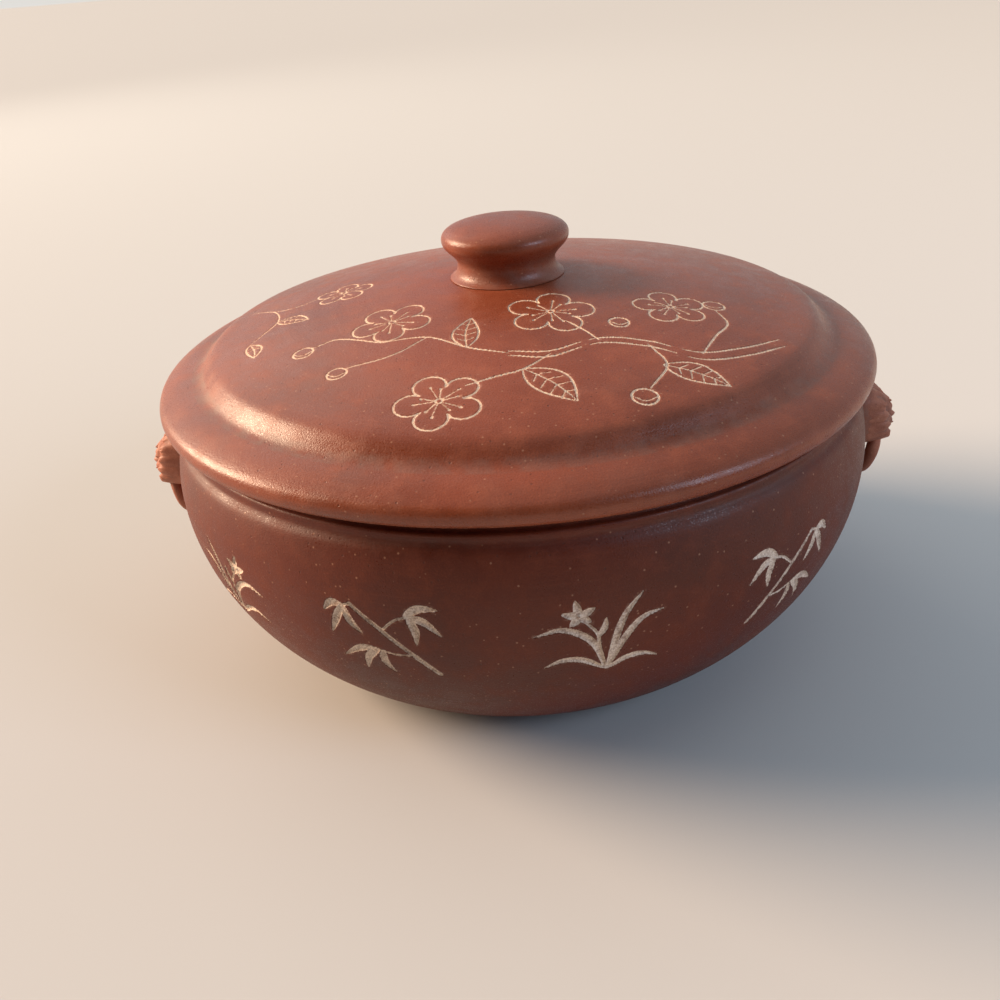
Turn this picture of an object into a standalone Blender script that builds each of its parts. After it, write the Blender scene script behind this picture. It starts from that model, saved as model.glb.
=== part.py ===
"""Clay steam pot: a squat bowl on a low foot, with a hollow chimney that lets steam up into it.

Two press-moulded beast masks are luted to the belly, and each holds a fixed clay ring in its jaws.
The domed lid lifts off. It has a rolled edge, a locating ring underneath and a mushroom knob.
Sizes are in metres and +Z is up. The origin is on the table, under the middle of the foot.
The masks lie on +X and -X.
"""
import math

import bmesh
import bpy
from mathutils import Matrix, Vector

# Room left between pieces that are luted or seated together
SEAM = 0.0003

# Bowl: neck band under the lid, shoulder, belly and base
NECK_RADIUS = 0.1134
LIP_INSET = 0.0020
LIP_HEIGHT = 0.0030
LIP_ROUNDING = 0.0010
NECK_HEIGHT = 0.0050
SHOULDER_STEP = 0.0018
BELLY_BULGE = 0.0031
BELLY_DROP = 0.0170
BOWL_HEIGHT = 0.0915
BASE_RADIUS = 0.0870
BASE_ROUNDING = 0.0100
WALL = 0.0060
FLOOR_THICKNESS = 0.0070
FLOOR_ROUNDING = 0.0180

# Foot ring, set back from the edge of the base
FOOT_HEIGHT = 0.0060
FOOT_SETBACK = 0.0110
FOOT_WIDTH = 0.0090
FOOT_ROUNDING = 0.0012

# Steam chimney over the hole in the floor, and the coil that seals its foot
STEAM_HOLE_RADIUS = 0.0210
CHIMNEY_WALL = 0.0055
CHIMNEY_MOUTH_RADIUS = 0.0060
CHIMNEY_MOUTH_WALL = 0.0042
CHIMNEY_BELOW_RIM = 0.0100
CHIMNEY_TAPER = 1.3
COIL_SIZE = 0.0075

# Lid: rolled edge, crowned brim, steep shoulder and gentle dome
LID_OVERHANG = 0.0078
EDGE_ROLL_RADIUS = 0.0039
ROLL_START = 55
BRIM_CROWN = 0.0010
CREASE_INSET = 0.0126
CREASE_HEIGHT = 0.0107
DOME_INSET = 0.0202
SHOULDER_RISE = 0.0064
DOME_RISE = 0.0146
DOME_FULLNESS = 1.7
LID_WALL = 0.0055
RING_PLAY = 0.0015
RING_WIDTH = 0.0055
RING_DEPTH = 0.0070
RING_ROUNDING = 0.0012
RING_LEDGE = 0.0010

# Knob
KNOB_BASE_RADIUS = 0.0178
KNOB_NECK_RADIUS = 0.0163
KNOB_NECK_HEIGHT = 0.0046
KNOB_RADIUS = 0.0211
KNOB_UNDERCUT = 0.0076
KNOB_CAP_HEIGHT = 0.0058
KNOB_SQUARENESS = 2.6

# Beast masks on the belly
MASK_LEVEL = 0.0670
MASK_HALF_WIDTH = 0.0165
MASK_HALF_HEIGHT = 0.0115
MASK_REACH = 0.0160
MASK_EDGE = 0.0020
MASK_SQUARENESS = 3.2
SNOUT_HEIGHT = 0.0038
BROW_HEIGHT = 0.0026
EYE_DEPTH = 0.0020
CHEEK_HEIGHT = 0.0020
EAR_HEIGHT = 0.0022

# Where each form lies on a mask, across and up, then how far it spreads across and up, all as shares
# of the mask's half width and half height. Brows, eyes, cheeks and ears come in pairs.
SNOUT_FORM = (0.0, -0.32, 0.34, 0.34)
BROW_FORM = (0.40, 0.36, 0.24, 0.16)
EYE_FORM = (0.44, 0.04, 0.18, 0.15)
CHEEK_FORM = (0.66, -0.40, 0.22, 0.26)
EAR_FORM = (0.72, 0.72, 0.20, 0.20)

# The mask's main swell: forehead's slope, jaw's tuck and how sharply the sides fall away
FOREHEAD_SPAN = 1.15
JAW_TOP = -0.15
JAW_TUCK = 0.15
SIDE_BOXINESS = 4
SIDE_FALL = 0.7

# Rings held in the masks' jaws, hanging nearly upright a little off the belly
LOOP_RADIUS = 0.0098
LOOP_THICKNESS = 0.0046
LOOP_DROP = 0.0028
LOOP_LEAN = math.radians(12)
LOOP_CLEARANCE = 0.0055
SOCKET_DEPTH = 0.0022

# How finely curves are cut
BOWL_STEPS = 52
SMALL_STEPS = 36
PROFILE_STEPS = 7
BLEND_STEPS = 5
BRIM_STEPS = 4
CROWN_STEPS = 6
ROLL_STEPS = 8
CORNER_STEPS = 3
ROUNDING_STEPS = 2
MASK_SECTORS = 32
MASK_ROWS = 10
LOOP_SIDES = 10
LOOP_STEPS = 18

MERGE_DISTANCE = 1e-6
SHARP_EDGE = math.radians(38)

# Radii and levels that follow from the sizes above
LIP_RADIUS = NECK_RADIUS - LIP_INSET
SHOULDER_RADIUS = NECK_RADIUS + SHOULDER_STEP
BELLY_RADIUS = SHOULDER_RADIUS + BELLY_BULGE
LIP_LEVEL = BOWL_HEIGHT - LIP_HEIGHT
SHOULDER_LEVEL = LIP_LEVEL - NECK_HEIGHT
BELLY_LEVEL = SHOULDER_LEVEL - BELLY_DROP
FLOOR_LEVEL = FOOT_HEIGHT + FLOOR_THICKNESS
NECK_BORE = NECK_RADIUS - WALL
FOOT_RADIUS = BASE_RADIUS - FOOT_SETBACK
CHIMNEY_HEIGHT = BOWL_HEIGHT - CHIMNEY_BELOW_RIM - FLOOR_LEVEL - SEAM
LID_SEAT = BOWL_HEIGHT + SEAM
LID_RADIUS = LIP_RADIUS + LID_OVERHANG
CREASE_RADIUS = LID_RADIUS - CREASE_INSET
DOME_RADIUS = LID_RADIUS - DOME_INSET
RING_RADIUS = NECK_BORE - RING_PLAY
LEDGE_RADIUS = RING_RADIUS - RING_WIDTH - RING_LEDGE

CLAY_SHEEN = 0.42
CLAY_DRY = 0.68


def clear_scene():
    for old in list(bpy.data.objects):
        bpy.data.objects.remove(old, do_unlink=True)


def clay(name, color, roughness):
    """Unglazed red clay of the given linear colour."""
    material = bpy.data.materials.new(name)
    material.use_nodes = True
    shader = material.node_tree.nodes["Principled BSDF"]
    shader.inputs["Base Color"].default_value = (*color, 1.0)
    shader.inputs["Roughness"].default_value = roughness
    shader.inputs["Metallic"].default_value = 0.0
    return material


def empty(name, location):
    marker = bpy.data.objects.new(name, None)
    marker.location = location
    bpy.context.collection.objects.link(marker)
    return marker


def add_piece(name, bm, material, location=(0, 0, 0), rotation=(0, 0, 0), parent=None):
    """Close the mesh's seams, turn its faces outwards and make it an object."""
    bmesh.ops.remove_doubles(bm, verts=bm.verts, dist=MERGE_DISTANCE)
    bmesh.ops.recalc_face_normals(bm, faces=bm.faces)
    mesh = bpy.data.meshes.new(name)
    bm.to_mesh(mesh)
    bm.free()
    mesh.shade_smooth()
    mesh.set_sharp_from_angle(angle=SHARP_EDGE)
    mesh.materials.append(material)
    piece = bpy.data.objects.new(name, mesh)
    piece.location = location
    piece.rotation_euler = rotation
    piece.parent = parent
    bpy.context.collection.objects.link(piece)
    return piece


def arc(centre, radius, start, end, steps):
    """Points of a circle's arc in the (r, z) plane, from one angle to another in degrees."""
    angles = [math.radians(start + (end - start) * i / steps) for i in range(steps + 1)]
    return [(centre[0] + radius * math.cos(a), centre[1] + radius * math.sin(a)) for a in angles]


def blend(start, end, steps):
    """An S-shaped curve from start to end that leaves and arrives level."""
    points = []
    for i in range(steps + 1):
        share = i / steps
        drop = (1 - math.cos(math.pi * share)) / 2
        points.append((start[0] + (end[0] - start[0]) * share, start[1] + (end[1] - start[1]) * drop))
    return points


def ease(start, slope, end, steps):
    """A curve that leaves the start at a slope and arrives level at the end."""
    points = []
    run = end[0] - start[0]
    for i in range(steps + 1):
        share = i / steps
        drop = share * share * (3 - 2 * share)
        lead = slope * run * share * (1 - share) ** 2
        points.append((start[0] + run * share, start[1] + (end[1] - start[1]) * drop + lead))
    return points


def bow(start, end, crown, steps):
    """The points between start and end of a line that bows up by the crown at its middle."""
    points = []
    for i in range(1, steps):
        share = i / steps
        rise = 4 * crown * share * (1 - share)
        points.append((start[0] + (end[0] - start[0]) * share, start[1] + (end[1] - start[1]) * share + rise))
    return points


def spun(outline, steps, closed=True):
    """Spin an outline of (r, z) points a full turn. An open outline starts and ends on the axis."""
    bm = bmesh.new()
    corners = [bm.verts.new((r, 0, z)) for r, z in outline]
    pairs = list(zip(corners, corners[1:]))
    if closed:
        pairs.append((corners[-1], corners[0]))
    edges = [bm.edges.new(pair) for pair in pairs]
    bmesh.ops.spin(bm, geom=corners + edges, cent=(0, 0, 0), axis=(0, 0, 1),
                   angle=2 * math.pi, steps=steps, use_merge=True)
    return bm


def half_height(radius, widest, rise):
    """Half height of an ellipse of half width widest that has this radius at rise from its middle."""
    return rise / math.sqrt(1 - (radius / widest) ** 2)


def belly_curve(top, widest, base, rounding):
    """The wall's curve from its top down to the flat at its base.

    Two quarter ellipses meet at the widest level. The lower one would reach the base point, but an
    arc that touches both the ellipse and the flat rounds that corner.
    """
    upper = half_height(top[0], widest[0], top[1] - widest[1])
    lower = half_height(base[0], widest[0], widest[1] - base[1])
    top_angle = math.acos(top[0] / widest[0])
    base_angle = math.acos(base[0] / widest[0])

    def corner_centre(angle):
        normal = Vector((math.cos(angle) / widest[0], -math.sin(angle) / lower)).normalized()
        foot = Vector((widest[0] * math.cos(angle), widest[1] - lower * math.sin(angle)))
        return foot - rounding * normal, normal

    low, high = 0.0, base_angle
    halvings = 40
    for _ in range(halvings):
        middle = (low + high) / 2
        if corner_centre(middle)[0].y > base[1] + rounding:
            low = middle
        else:
            high = middle
    centre, normal = corner_centre(low)

    points = []
    for i in range(CORNER_STEPS):
        angle = top_angle * (1 - i / CORNER_STEPS)
        points.append((widest[0] * math.cos(angle), widest[1] + upper * math.sin(angle)))
    for i in range(PROFILE_STEPS):
        angle = low * i / PROFILE_STEPS
        points.append((widest[0] * math.cos(angle), widest[1] - lower * math.sin(angle)))
    start = math.degrees(math.atan2(normal.y, normal.x))
    return points + arc(centre, rounding, start, -90, CORNER_STEPS)


def belly_radius(z):
    """Outside radius of the belly at height z, on the same two ellipses as the wall's curve."""
    if z > BELLY_LEVEL:
        half = half_height(SHOULDER_RADIUS, BELLY_RADIUS, SHOULDER_LEVEL - BELLY_LEVEL)
    else:
        half = half_height(BASE_RADIUS, BELLY_RADIUS, BELLY_LEVEL - FOOT_HEIGHT)
    return BELLY_RADIUS * math.sqrt(1 - ((z - BELLY_LEVEL) / half) ** 2)


def belly_depth(y, z):
    """How far out the belly lies along X, at a place across and up."""
    return math.sqrt(belly_radius(z) ** 2 - y ** 2)


def make_bowl(material):
    lip_centre = (LIP_RADIUS - LIP_ROUNDING, BOWL_HEIGHT - LIP_ROUNDING)
    outside = arc(lip_centre, LIP_ROUNDING, 90, 0, ROUNDING_STEPS)
    outside.append((LIP_RADIUS, LIP_LEVEL))
    outside.append((NECK_RADIUS, LIP_LEVEL - LIP_INSET / 4))
    outside.append((NECK_RADIUS, SHOULDER_LEVEL + SHOULDER_STEP))
    outside += belly_curve((SHOULDER_RADIUS, SHOULDER_LEVEL), (BELLY_RADIUS, BELLY_LEVEL),
                           (BASE_RADIUS, FOOT_HEIGHT), BASE_ROUNDING)
    hole = [(STEAM_HOLE_RADIUS, FOOT_HEIGHT), (STEAM_HOLE_RADIUS, FLOOR_LEVEL)]
    inside = belly_curve((NECK_BORE, SHOULDER_LEVEL), (BELLY_RADIUS - WALL, BELLY_LEVEL),
                         (BASE_RADIUS - WALL, FLOOR_LEVEL), FLOOR_ROUNDING)
    bore_top = [(NECK_BORE, BOWL_HEIGHT - LIP_ROUNDING), (NECK_BORE + LIP_ROUNDING, BOWL_HEIGHT)]
    outline = outside + hole + inside[::-1] + bore_top
    return add_piece("pot_bowl", spun(outline, BOWL_STEPS), material)


def rounded_band(inner, outer, bottom, top, rounding):
    """Outline of a ring's section with rounded lower edges."""
    outline = [(inner, top), (outer, top)]
    outline += arc((outer - rounding, bottom + rounding), rounding, 0, -90, ROUNDING_STEPS)
    outline += arc((inner + rounding, bottom + rounding), rounding, -90, -180, ROUNDING_STEPS)
    return outline


def make_foot(material):
    outline = rounded_band(FOOT_RADIUS - FOOT_WIDTH, FOOT_RADIUS, 0, FOOT_HEIGHT - SEAM, FOOT_ROUNDING)
    return add_piece("foot_ring", spun(outline, BOWL_STEPS), material)


def chimney_radius(height, base, mouth):
    """Radius of the chimney's tapering wall at a height above its foot."""
    left = 1 - height / CHIMNEY_HEIGHT
    return mouth + (base - mouth) * left ** CHIMNEY_TAPER


def make_chimney(material, parent):
    base = STEAM_HOLE_RADIUS + CHIMNEY_WALL
    mouth = CHIMNEY_MOUTH_RADIUS + CHIMNEY_MOUTH_WALL
    heights = [CHIMNEY_HEIGHT * i / PROFILE_STEPS for i in range(PROFILE_STEPS + 1)]
    lip = CHIMNEY_MOUTH_WALL / 2
    body = [h for h in heights if h < CHIMNEY_HEIGHT - lip]
    outside = [(chimney_radius(h, base, mouth), h) for h in body]
    crown = arc((CHIMNEY_MOUTH_RADIUS + lip, CHIMNEY_HEIGHT - lip), lip, 0, 180, CROWN_STEPS)
    bore = [(chimney_radius(h, STEAM_HOLE_RADIUS, CHIMNEY_MOUTH_RADIUS), h) for h in body]
    outline = outside + crown + bore[::-1]
    return add_piece("steam_chimney", spun(outline, SMALL_STEPS), material,
                     location=(0, 0, FLOOR_LEVEL + SEAM), parent=parent)


def make_luting_coil(material, parent):
    """A rolled coil pressed into the corner between the chimney and the floor."""
    base = STEAM_HOLE_RADIUS + CHIMNEY_WALL
    mouth = CHIMNEY_MOUTH_RADIUS + CHIMNEY_MOUTH_WALL
    heights = [COIL_SIZE * (1 - i / CORNER_STEPS) for i in range(CORNER_STEPS + 1)]
    against = [(chimney_radius(h, base, mouth) + SEAM, h) for h in heights]
    top_radius = against[0][0]
    swell = base + COIL_SIZE - top_radius
    angles = [math.pi / 2 * i / CROWN_STEPS for i in range(CROWN_STEPS)]
    bulge = [(top_radius + swell * math.cos(a), COIL_SIZE * math.sin(a)) for a in angles]
    return add_piece("chimney_luting_coil", spun(against + bulge, SMALL_STEPS), material,
                     location=(0, 0, FLOOR_LEVEL + SEAM), parent=parent)


def dome_height(radius):
    """Height of the dome above the lid's seat, from the shoulder's top up to the knob."""
    fall = (max(radius, KNOB_BASE_RADIUS) / DOME_RADIUS) ** DOME_FULLNESS
    return CREASE_HEIGHT + SHOULDER_RISE + DOME_RISE * (1 - fall)


def make_lid(material, parent):
    span = DOME_RADIUS - KNOB_BASE_RADIUS
    radii = [KNOB_BASE_RADIUS + span * i / PROFILE_STEPS for i in range(PROFILE_STEPS + 1)]
    dome = [(0, dome_height(0))] + [(r, dome_height(r)) for r in radii]
    crease = (CREASE_RADIUS, CREASE_HEIGHT)
    dome_slope = -DOME_FULLNESS * DOME_RISE / DOME_RADIUS
    shoulder = ease(dome[-1], dome_slope, crease, BLEND_STEPS)[1:]
    roll_centre = (LID_RADIUS - EDGE_ROLL_RADIUS, EDGE_ROLL_RADIUS)
    roll = arc(roll_centre, EDGE_ROLL_RADIUS, ROLL_START, -90, ROLL_STEPS)
    brim = bow(crease, roll[0], BRIM_CROWN, BRIM_STEPS)
    hollow_edge = LEDGE_RADIUS - LID_WALL
    rise = blend((LEDGE_RADIUS, 0), (hollow_edge, dome_height(hollow_edge) - LID_WALL), BLEND_STEPS)
    under = [hollow_edge * (1 - i / BLEND_STEPS) for i in range(1, BLEND_STEPS)]
    hollow = [(r, dome_height(r) - LID_WALL) for r in under] + [(0, dome_height(0) - LID_WALL)]
    outline = dome + shoulder + brim + roll + rise + hollow
    return add_piece("lid_dome", spun(outline, BOWL_STEPS, closed=False), material, parent=parent)


def make_locating_ring(material, parent):
    outline = rounded_band(RING_RADIUS - RING_WIDTH, RING_RADIUS, -SEAM - RING_DEPTH, -SEAM, RING_ROUNDING)
    return add_piece("lid_locating_ring", spun(outline, BOWL_STEPS), material, parent=parent)


def make_knob(material, parent):
    """A mushroom knob: flared base, waist, undercut cap and a full, softly squared top."""
    outline = [(0, 0)]
    for i in range(CORNER_STEPS):
        left = 1 - i / CORNER_STEPS
        outline.append((KNOB_NECK_RADIUS + (KNOB_BASE_RADIUS - KNOB_NECK_RADIUS) * left ** 2,
                        KNOB_NECK_HEIGHT * (1 - left)))
    for i in range(BLEND_STEPS):
        share = i / BLEND_STEPS
        swell = (1 - math.cos(math.pi * share)) / 2
        outline.append((KNOB_NECK_RADIUS + (KNOB_RADIUS - KNOB_NECK_RADIUS) * swell,
                        KNOB_NECK_HEIGHT + KNOB_UNDERCUT * share))
    widest = KNOB_NECK_HEIGHT + KNOB_UNDERCUT
    power = 2 / KNOB_SQUARENESS
    for i in range(CROWN_STEPS):
        angle = math.pi / 2 * i / CROWN_STEPS
        outline.append((KNOB_RADIUS * math.cos(angle) ** power,
                        widest + KNOB_CAP_HEIGHT * math.sin(angle) ** power))
    outline.append((0, widest + KNOB_CAP_HEIGHT))
    return add_piece("lid_knob", spun(outline, SMALL_STEPS, closed=False), material,
                     location=(0, 0, dome_height(0) + SEAM), parent=parent)


def swelling(u, v, form):
    """A smooth rounded swelling, 1 at its middle, and its mirror image where it is one of a pair."""
    across, up, spread_across, spread_up = form
    rise = ((v - up) / spread_up) ** 2
    sides = (-across, across) if across else (across,)
    return sum(math.exp(-((u - side) / spread_across) ** 2 - rise) for side in sides)


def mask_relief(u, v):
    """How far the mask stands off the belly, for u across and v up, both from -1 to 1.

    The forehead slopes out from the top edge to the muzzle, the sides fall away to a thin edge, and
    the jaw stays deep down to the chin. Snout, brows, cheeks and ears are swellings on top of that,
    and the eyes lie in hollows.
    """
    slope = min(1.0, (1 - v) / FOREHEAD_SPAN)
    forehead = math.sin(math.pi / 2 * slope)
    tuck = JAW_TUCK * max(0.0, (JAW_TOP - v) / (JAW_TOP + 1)) ** 2
    sides = max(0.0, 1 - u ** SIDE_BOXINESS) ** SIDE_FALL
    relief = MASK_EDGE + (MASK_REACH - MASK_EDGE - SNOUT_HEIGHT) * (forehead - tuck) * sides
    relief += SNOUT_HEIGHT * swelling(u, v, SNOUT_FORM)
    relief += BROW_HEIGHT * swelling(u, v, BROW_FORM)
    relief -= EYE_DEPTH * swelling(u, v, EYE_FORM)
    relief += CHEEK_HEIGHT * swelling(u, v, CHEEK_FORM)
    relief += EAR_HEIGHT * swelling(u, v, EAR_FORM)
    return relief


def mask_mesh():
    """The mask for +X, about its own middle on the belly, as a relief with its back on the wall."""
    bm = bmesh.new()
    spoke = [bm.verts.new((i / MASK_ROWS, 0, 0)) for i in range(MASK_ROWS + 1)]
    edges = [bm.edges.new(pair) for pair in zip(spoke, spoke[1:])]
    bmesh.ops.spin(bm, geom=spoke + edges, cent=(0, 0, 0), axis=(0, 0, 1),
                   angle=2 * math.pi, steps=MASK_SECTORS, use_merge=True)
    bmesh.ops.remove_doubles(bm, verts=bm.verts, dist=MERGE_DISTANCE)
    front = bmesh.ops.extrude_face_region(bm, geom=list(bm.faces))["geom"]
    front_corners = {item for item in front if isinstance(item, bmesh.types.BMVert)}
    seat = belly_radius(MASK_LEVEL)
    power = 2 / MASK_SQUARENESS
    for corner in bm.verts:
        reach = math.hypot(corner.co.x, corner.co.y)
        angle = math.atan2(corner.co.y, corner.co.x)
        u = reach * math.copysign(abs(math.cos(angle)) ** power, math.cos(angle))
        v = reach * math.copysign(abs(math.sin(angle)) ** power, math.sin(angle))
        y = u * MASK_HALF_WIDTH
        z = v * MASK_HALF_HEIGHT
        x = belly_depth(y, MASK_LEVEL + z) + SEAM - seat
        if corner in front_corners:
            x += mask_relief(u, v) - SEAM
        corner.co = (x, y, z)
    return bm


def loop_mesh(radius, overshoot):
    """A ring open at the top, in the YZ plane about its own middle, of the given bar radius."""
    rise = math.asin(LOOP_DROP / math.cos(LOOP_LEAN) / LOOP_RADIUS)
    sweep = math.pi + 2 * (rise + (SOCKET_DEPTH + overshoot) / LOOP_RADIUS)
    bm = bmesh.new()
    bmesh.ops.create_circle(bm, radius=radius, segments=LOOP_SIDES)
    bmesh.ops.rotate(bm, verts=bm.verts, cent=(0, 0, 0), matrix=Matrix.Rotation(math.pi / 2, 3, "Y"))
    bmesh.ops.rotate(bm, verts=bm.verts, cent=(0, 0, 0), matrix=Matrix.Rotation(math.pi / 2, 3, "Z"))
    bmesh.ops.translate(bm, verts=bm.verts, vec=(0, 0, -LOOP_RADIUS))
    bmesh.ops.rotate(bm, verts=bm.verts, cent=(0, 0, 0), matrix=Matrix.Rotation(-sweep / 2, 3, "X"))
    bmesh.ops.spin(bm, geom=list(bm.verts) + list(bm.edges), cent=(0, 0, 0), axis=(1, 0, 0),
                   angle=sweep, steps=LOOP_STEPS)
    rims = [edge for edge in bm.edges if edge.is_boundary]
    bmesh.ops.holes_fill(bm, edges=rims, sides=0)
    return bm


def loop_centre():
    """Middle of the +X ring: it leans in until its bar is its clearance away from the belly."""
    level = MASK_LEVEL - MASK_HALF_HEIGHT - LOOP_DROP
    standoff = LOOP_THICKNESS / 2 + LOOP_CLEARANCE
    probe = LOOP_THICKNESS / 10
    needed = []
    for i in range(LOOP_STEPS + 1):
        angle = math.pi * (i / LOOP_STEPS - 0.5)
        down = LOOP_RADIUS * math.cos(angle)
        y = LOOP_RADIUS * math.sin(angle)
        z = level - down * math.cos(LOOP_LEAN)
        tilt = math.atan((belly_radius(z + probe) - belly_radius(z - probe)) / (2 * probe))
        needed.append(belly_depth(y, z) + standoff / math.cos(tilt) + down * math.sin(LOOP_LEAN))
    return Vector((max(needed), 0, level))


def make_handle(side, turn, mask_clay, ring_clay, parent):
    """One mask and its ring. The ring's ends sit in sockets cut into the jaw."""
    about = Matrix.Rotation(turn, 3, "Z")
    mask = add_piece(side + "_handle_mask", mask_mesh(), mask_clay,
                     location=about @ Vector((belly_radius(MASK_LEVEL), 0, MASK_LEVEL)),
                     rotation=(0, 0, turn), parent=parent)
    place = {"location": about @ loop_centre(), "rotation": (0, LOOP_LEAN, turn), "parent": parent}
    ring = add_piece(side + "_handle_ring", loop_mesh(LOOP_THICKNESS / 2, 0), ring_clay, **place)
    socket_bar = loop_mesh(LOOP_THICKNESS / 2 + SEAM, SEAM)
    cutter = add_piece(side + "_socket_cutter", socket_bar, mask_clay, **place)
    cutter.hide_render = True
    cutter.display_type = "WIRE"
    sockets = mask.modifiers.new("Ring sockets", "BOOLEAN")
    sockets.operation = "DIFFERENCE"
    sockets.solver = "EXACT"
    sockets.object = cutter
    return mask, ring


def main():
    clear_scene()
    pot = empty("pot", (0, 0, 0))
    lid = empty("lid", (0, 0, LID_SEAT))
    bowl = make_bowl(clay("burnished_bowl_clay", (0.262, 0.084, 0.046), CLAY_SHEEN))
    bowl.parent = pot
    make_foot(clay("bare_foot_clay", (0.215, 0.072, 0.042), CLAY_DRY)).parent = pot
    make_chimney(clay("bare_chimney_clay", (0.235, 0.080, 0.046), CLAY_DRY), pot)
    make_luting_coil(clay("bare_coil_clay", (0.220, 0.074, 0.043), CLAY_DRY), pot)
    for side, turn in (("right", 0.0), ("left", math.pi)):
        mask_clay = clay(side + "_mask_clay", (0.240, 0.080, 0.047), CLAY_DRY)
        ring_clay = clay(side + "_ring_clay", (0.240, 0.080, 0.047), CLAY_DRY)
        make_handle(side, turn, mask_clay, ring_clay, pot)
    make_lid(clay("burnished_lid_clay", (0.285, 0.096, 0.054), CLAY_SHEEN), lid)
    make_locating_ring(clay("bare_ring_clay", (0.225, 0.076, 0.044), CLAY_DRY), lid)
    make_knob(clay("burnished_knob_clay", (0.275, 0.090, 0.050), CLAY_SHEEN), lid)


main()
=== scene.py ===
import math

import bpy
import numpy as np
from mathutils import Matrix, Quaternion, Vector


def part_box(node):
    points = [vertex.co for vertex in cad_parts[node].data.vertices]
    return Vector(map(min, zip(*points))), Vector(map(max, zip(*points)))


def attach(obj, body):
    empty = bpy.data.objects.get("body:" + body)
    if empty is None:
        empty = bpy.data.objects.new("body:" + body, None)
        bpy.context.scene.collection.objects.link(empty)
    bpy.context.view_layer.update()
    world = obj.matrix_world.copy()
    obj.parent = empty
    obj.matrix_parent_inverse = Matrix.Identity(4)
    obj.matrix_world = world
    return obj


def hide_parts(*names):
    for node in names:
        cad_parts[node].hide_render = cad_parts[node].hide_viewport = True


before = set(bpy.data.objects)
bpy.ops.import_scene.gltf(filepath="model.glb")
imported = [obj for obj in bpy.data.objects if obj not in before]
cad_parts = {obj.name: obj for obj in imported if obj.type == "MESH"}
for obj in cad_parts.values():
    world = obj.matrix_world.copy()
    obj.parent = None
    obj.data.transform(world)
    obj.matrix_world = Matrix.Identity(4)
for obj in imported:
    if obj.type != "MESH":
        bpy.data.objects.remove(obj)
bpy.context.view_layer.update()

# A clay steam pot, thrown and turned from fine red-brown stoneware, burnished and fired unglazed.
# Each turned piece is one outline spun round the pot's axis, on a grid that is cut finer where a
# carved stroke runs, so strokes are real grooves. Each lug is a relief over the belly, and each
# ring is a bar bent round. Lengths are in metres, and the front of the pot faces -Y.

MM = 0.001


def extent(node):
    """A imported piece's outside radius, lowest level and highest level."""
    low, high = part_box(node)
    return high.x, low.z, high.z


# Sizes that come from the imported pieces
BELLY_RADIUS, BOWL_BOTTOM, BOWL_HEIGHT = extent("pot_bowl")
FOOT_RADIUS, TABLE_LEVEL, FOOT_TOP = extent("foot_ring")
CHIMNEY_BASE, CHIMNEY_FOOT, CHIMNEY_TOP = extent("steam_chimney")
COIL_RADIUS, COIL_FOOT, COIL_TOP = extent("chimney_luting_coil")
LID_RADIUS, LID_SEAT, LID_TOP = extent("lid_dome")
RING_RADIUS, RING_BOTTOM, RING_TOP = extent("lid_locating_ring")
KNOB_RADIUS, KNOB_BOTTOM, KNOB_TOP = extent("lid_knob")
LUG_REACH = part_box("right_handle_mask")[1].x

# Bowl
NECK_RADIUS = 0.1134
LIP_INSET = 0.0020
LIP_HEIGHT = 0.0030
LIP_ROUNDING = 0.0010
NECK_HEIGHT = 0.0050
SHOULDER_STEP = 0.0018
BELLY_DROP = 0.0170
BASE_RADIUS = 0.0870
BASE_ROUNDING = 0.0100
WALL = 0.0060
FLOOR_THICKNESS = 0.0070
FLOOR_ROUNDING = 0.0180
FOOT_WIDTH = 0.0090
FOOT_ROUNDING = 0.0012
LIP_LEVEL = BOWL_HEIGHT - LIP_HEIGHT
SHOULDER_LEVEL = LIP_LEVEL - NECK_HEIGHT
SHOULDER_RADIUS = NECK_RADIUS + SHOULDER_STEP
BELLY_LEVEL = SHOULDER_LEVEL - BELLY_DROP
FLOOR_LEVEL = BOWL_BOTTOM + FLOOR_THICKNESS
NECK_BORE = NECK_RADIUS - WALL
LIP_RADIUS = NECK_RADIUS - LIP_INSET

# Chimney
STEAM_HOLE_RADIUS = 0.0210
CHIMNEY_MOUTH_RADIUS = 0.0060
CHIMNEY_MOUTH_WALL = 0.0042
CHIMNEY_TAPER = 1.3
SEAM = 0.0003               # the slip that joins two pieces

# Lid
EDGE_ROLL_RADIUS = 0.0039
ROLL_START = 55             # where the brim meets the roll, in degrees up from level
BRIM_CROWN = 0.0010
CREASE_INSET = 0.0126
CREASE_HEIGHT = 0.0107
DOME_INSET = 0.0202
SHOULDER_RISE = 0.0064
DOME_FULLNESS = 1.7
LID_WALL = 0.0055
RING_WIDTH = 0.0055
RING_ROUNDING = 0.0012
RING_LEDGE = 0.0010
SPONGED = 1.6 * MM          # the wet sponge rounded the lid's top over about this length
CREASE_RADIUS = LID_RADIUS - CREASE_INSET
DOME_RADIUS = LID_RADIUS - DOME_INSET
LEDGE_RADIUS = RING_RADIUS - RING_WIDTH - RING_LEDGE

# Knob
KNOB_BASE_RADIUS = 0.0178
KNOB_NECK_RADIUS = 0.0163
KNOB_NECK_HEIGHT = 0.0046
KNOB_UNDERCUT = 0.0076
KNOB_SQUARENESS = 2.6
KNOB_LUTING = 0.0016        # wet clay smoothed out from the knob's foot over the dome
KNOB_LUTING_DIP = 0.0003    # and down to it, as the dome falls away
KNOB_LUTING_POWER = 7       # how closely that clay hugs the foot
DOME_FALL = 1 - (KNOB_BASE_RADIUS / DOME_RADIUS) ** DOME_FULLNESS
DOME_RISE = (LID_TOP - LID_SEAT - CREASE_HEIGHT - SHOULDER_RISE) / DOME_FALL

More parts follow.
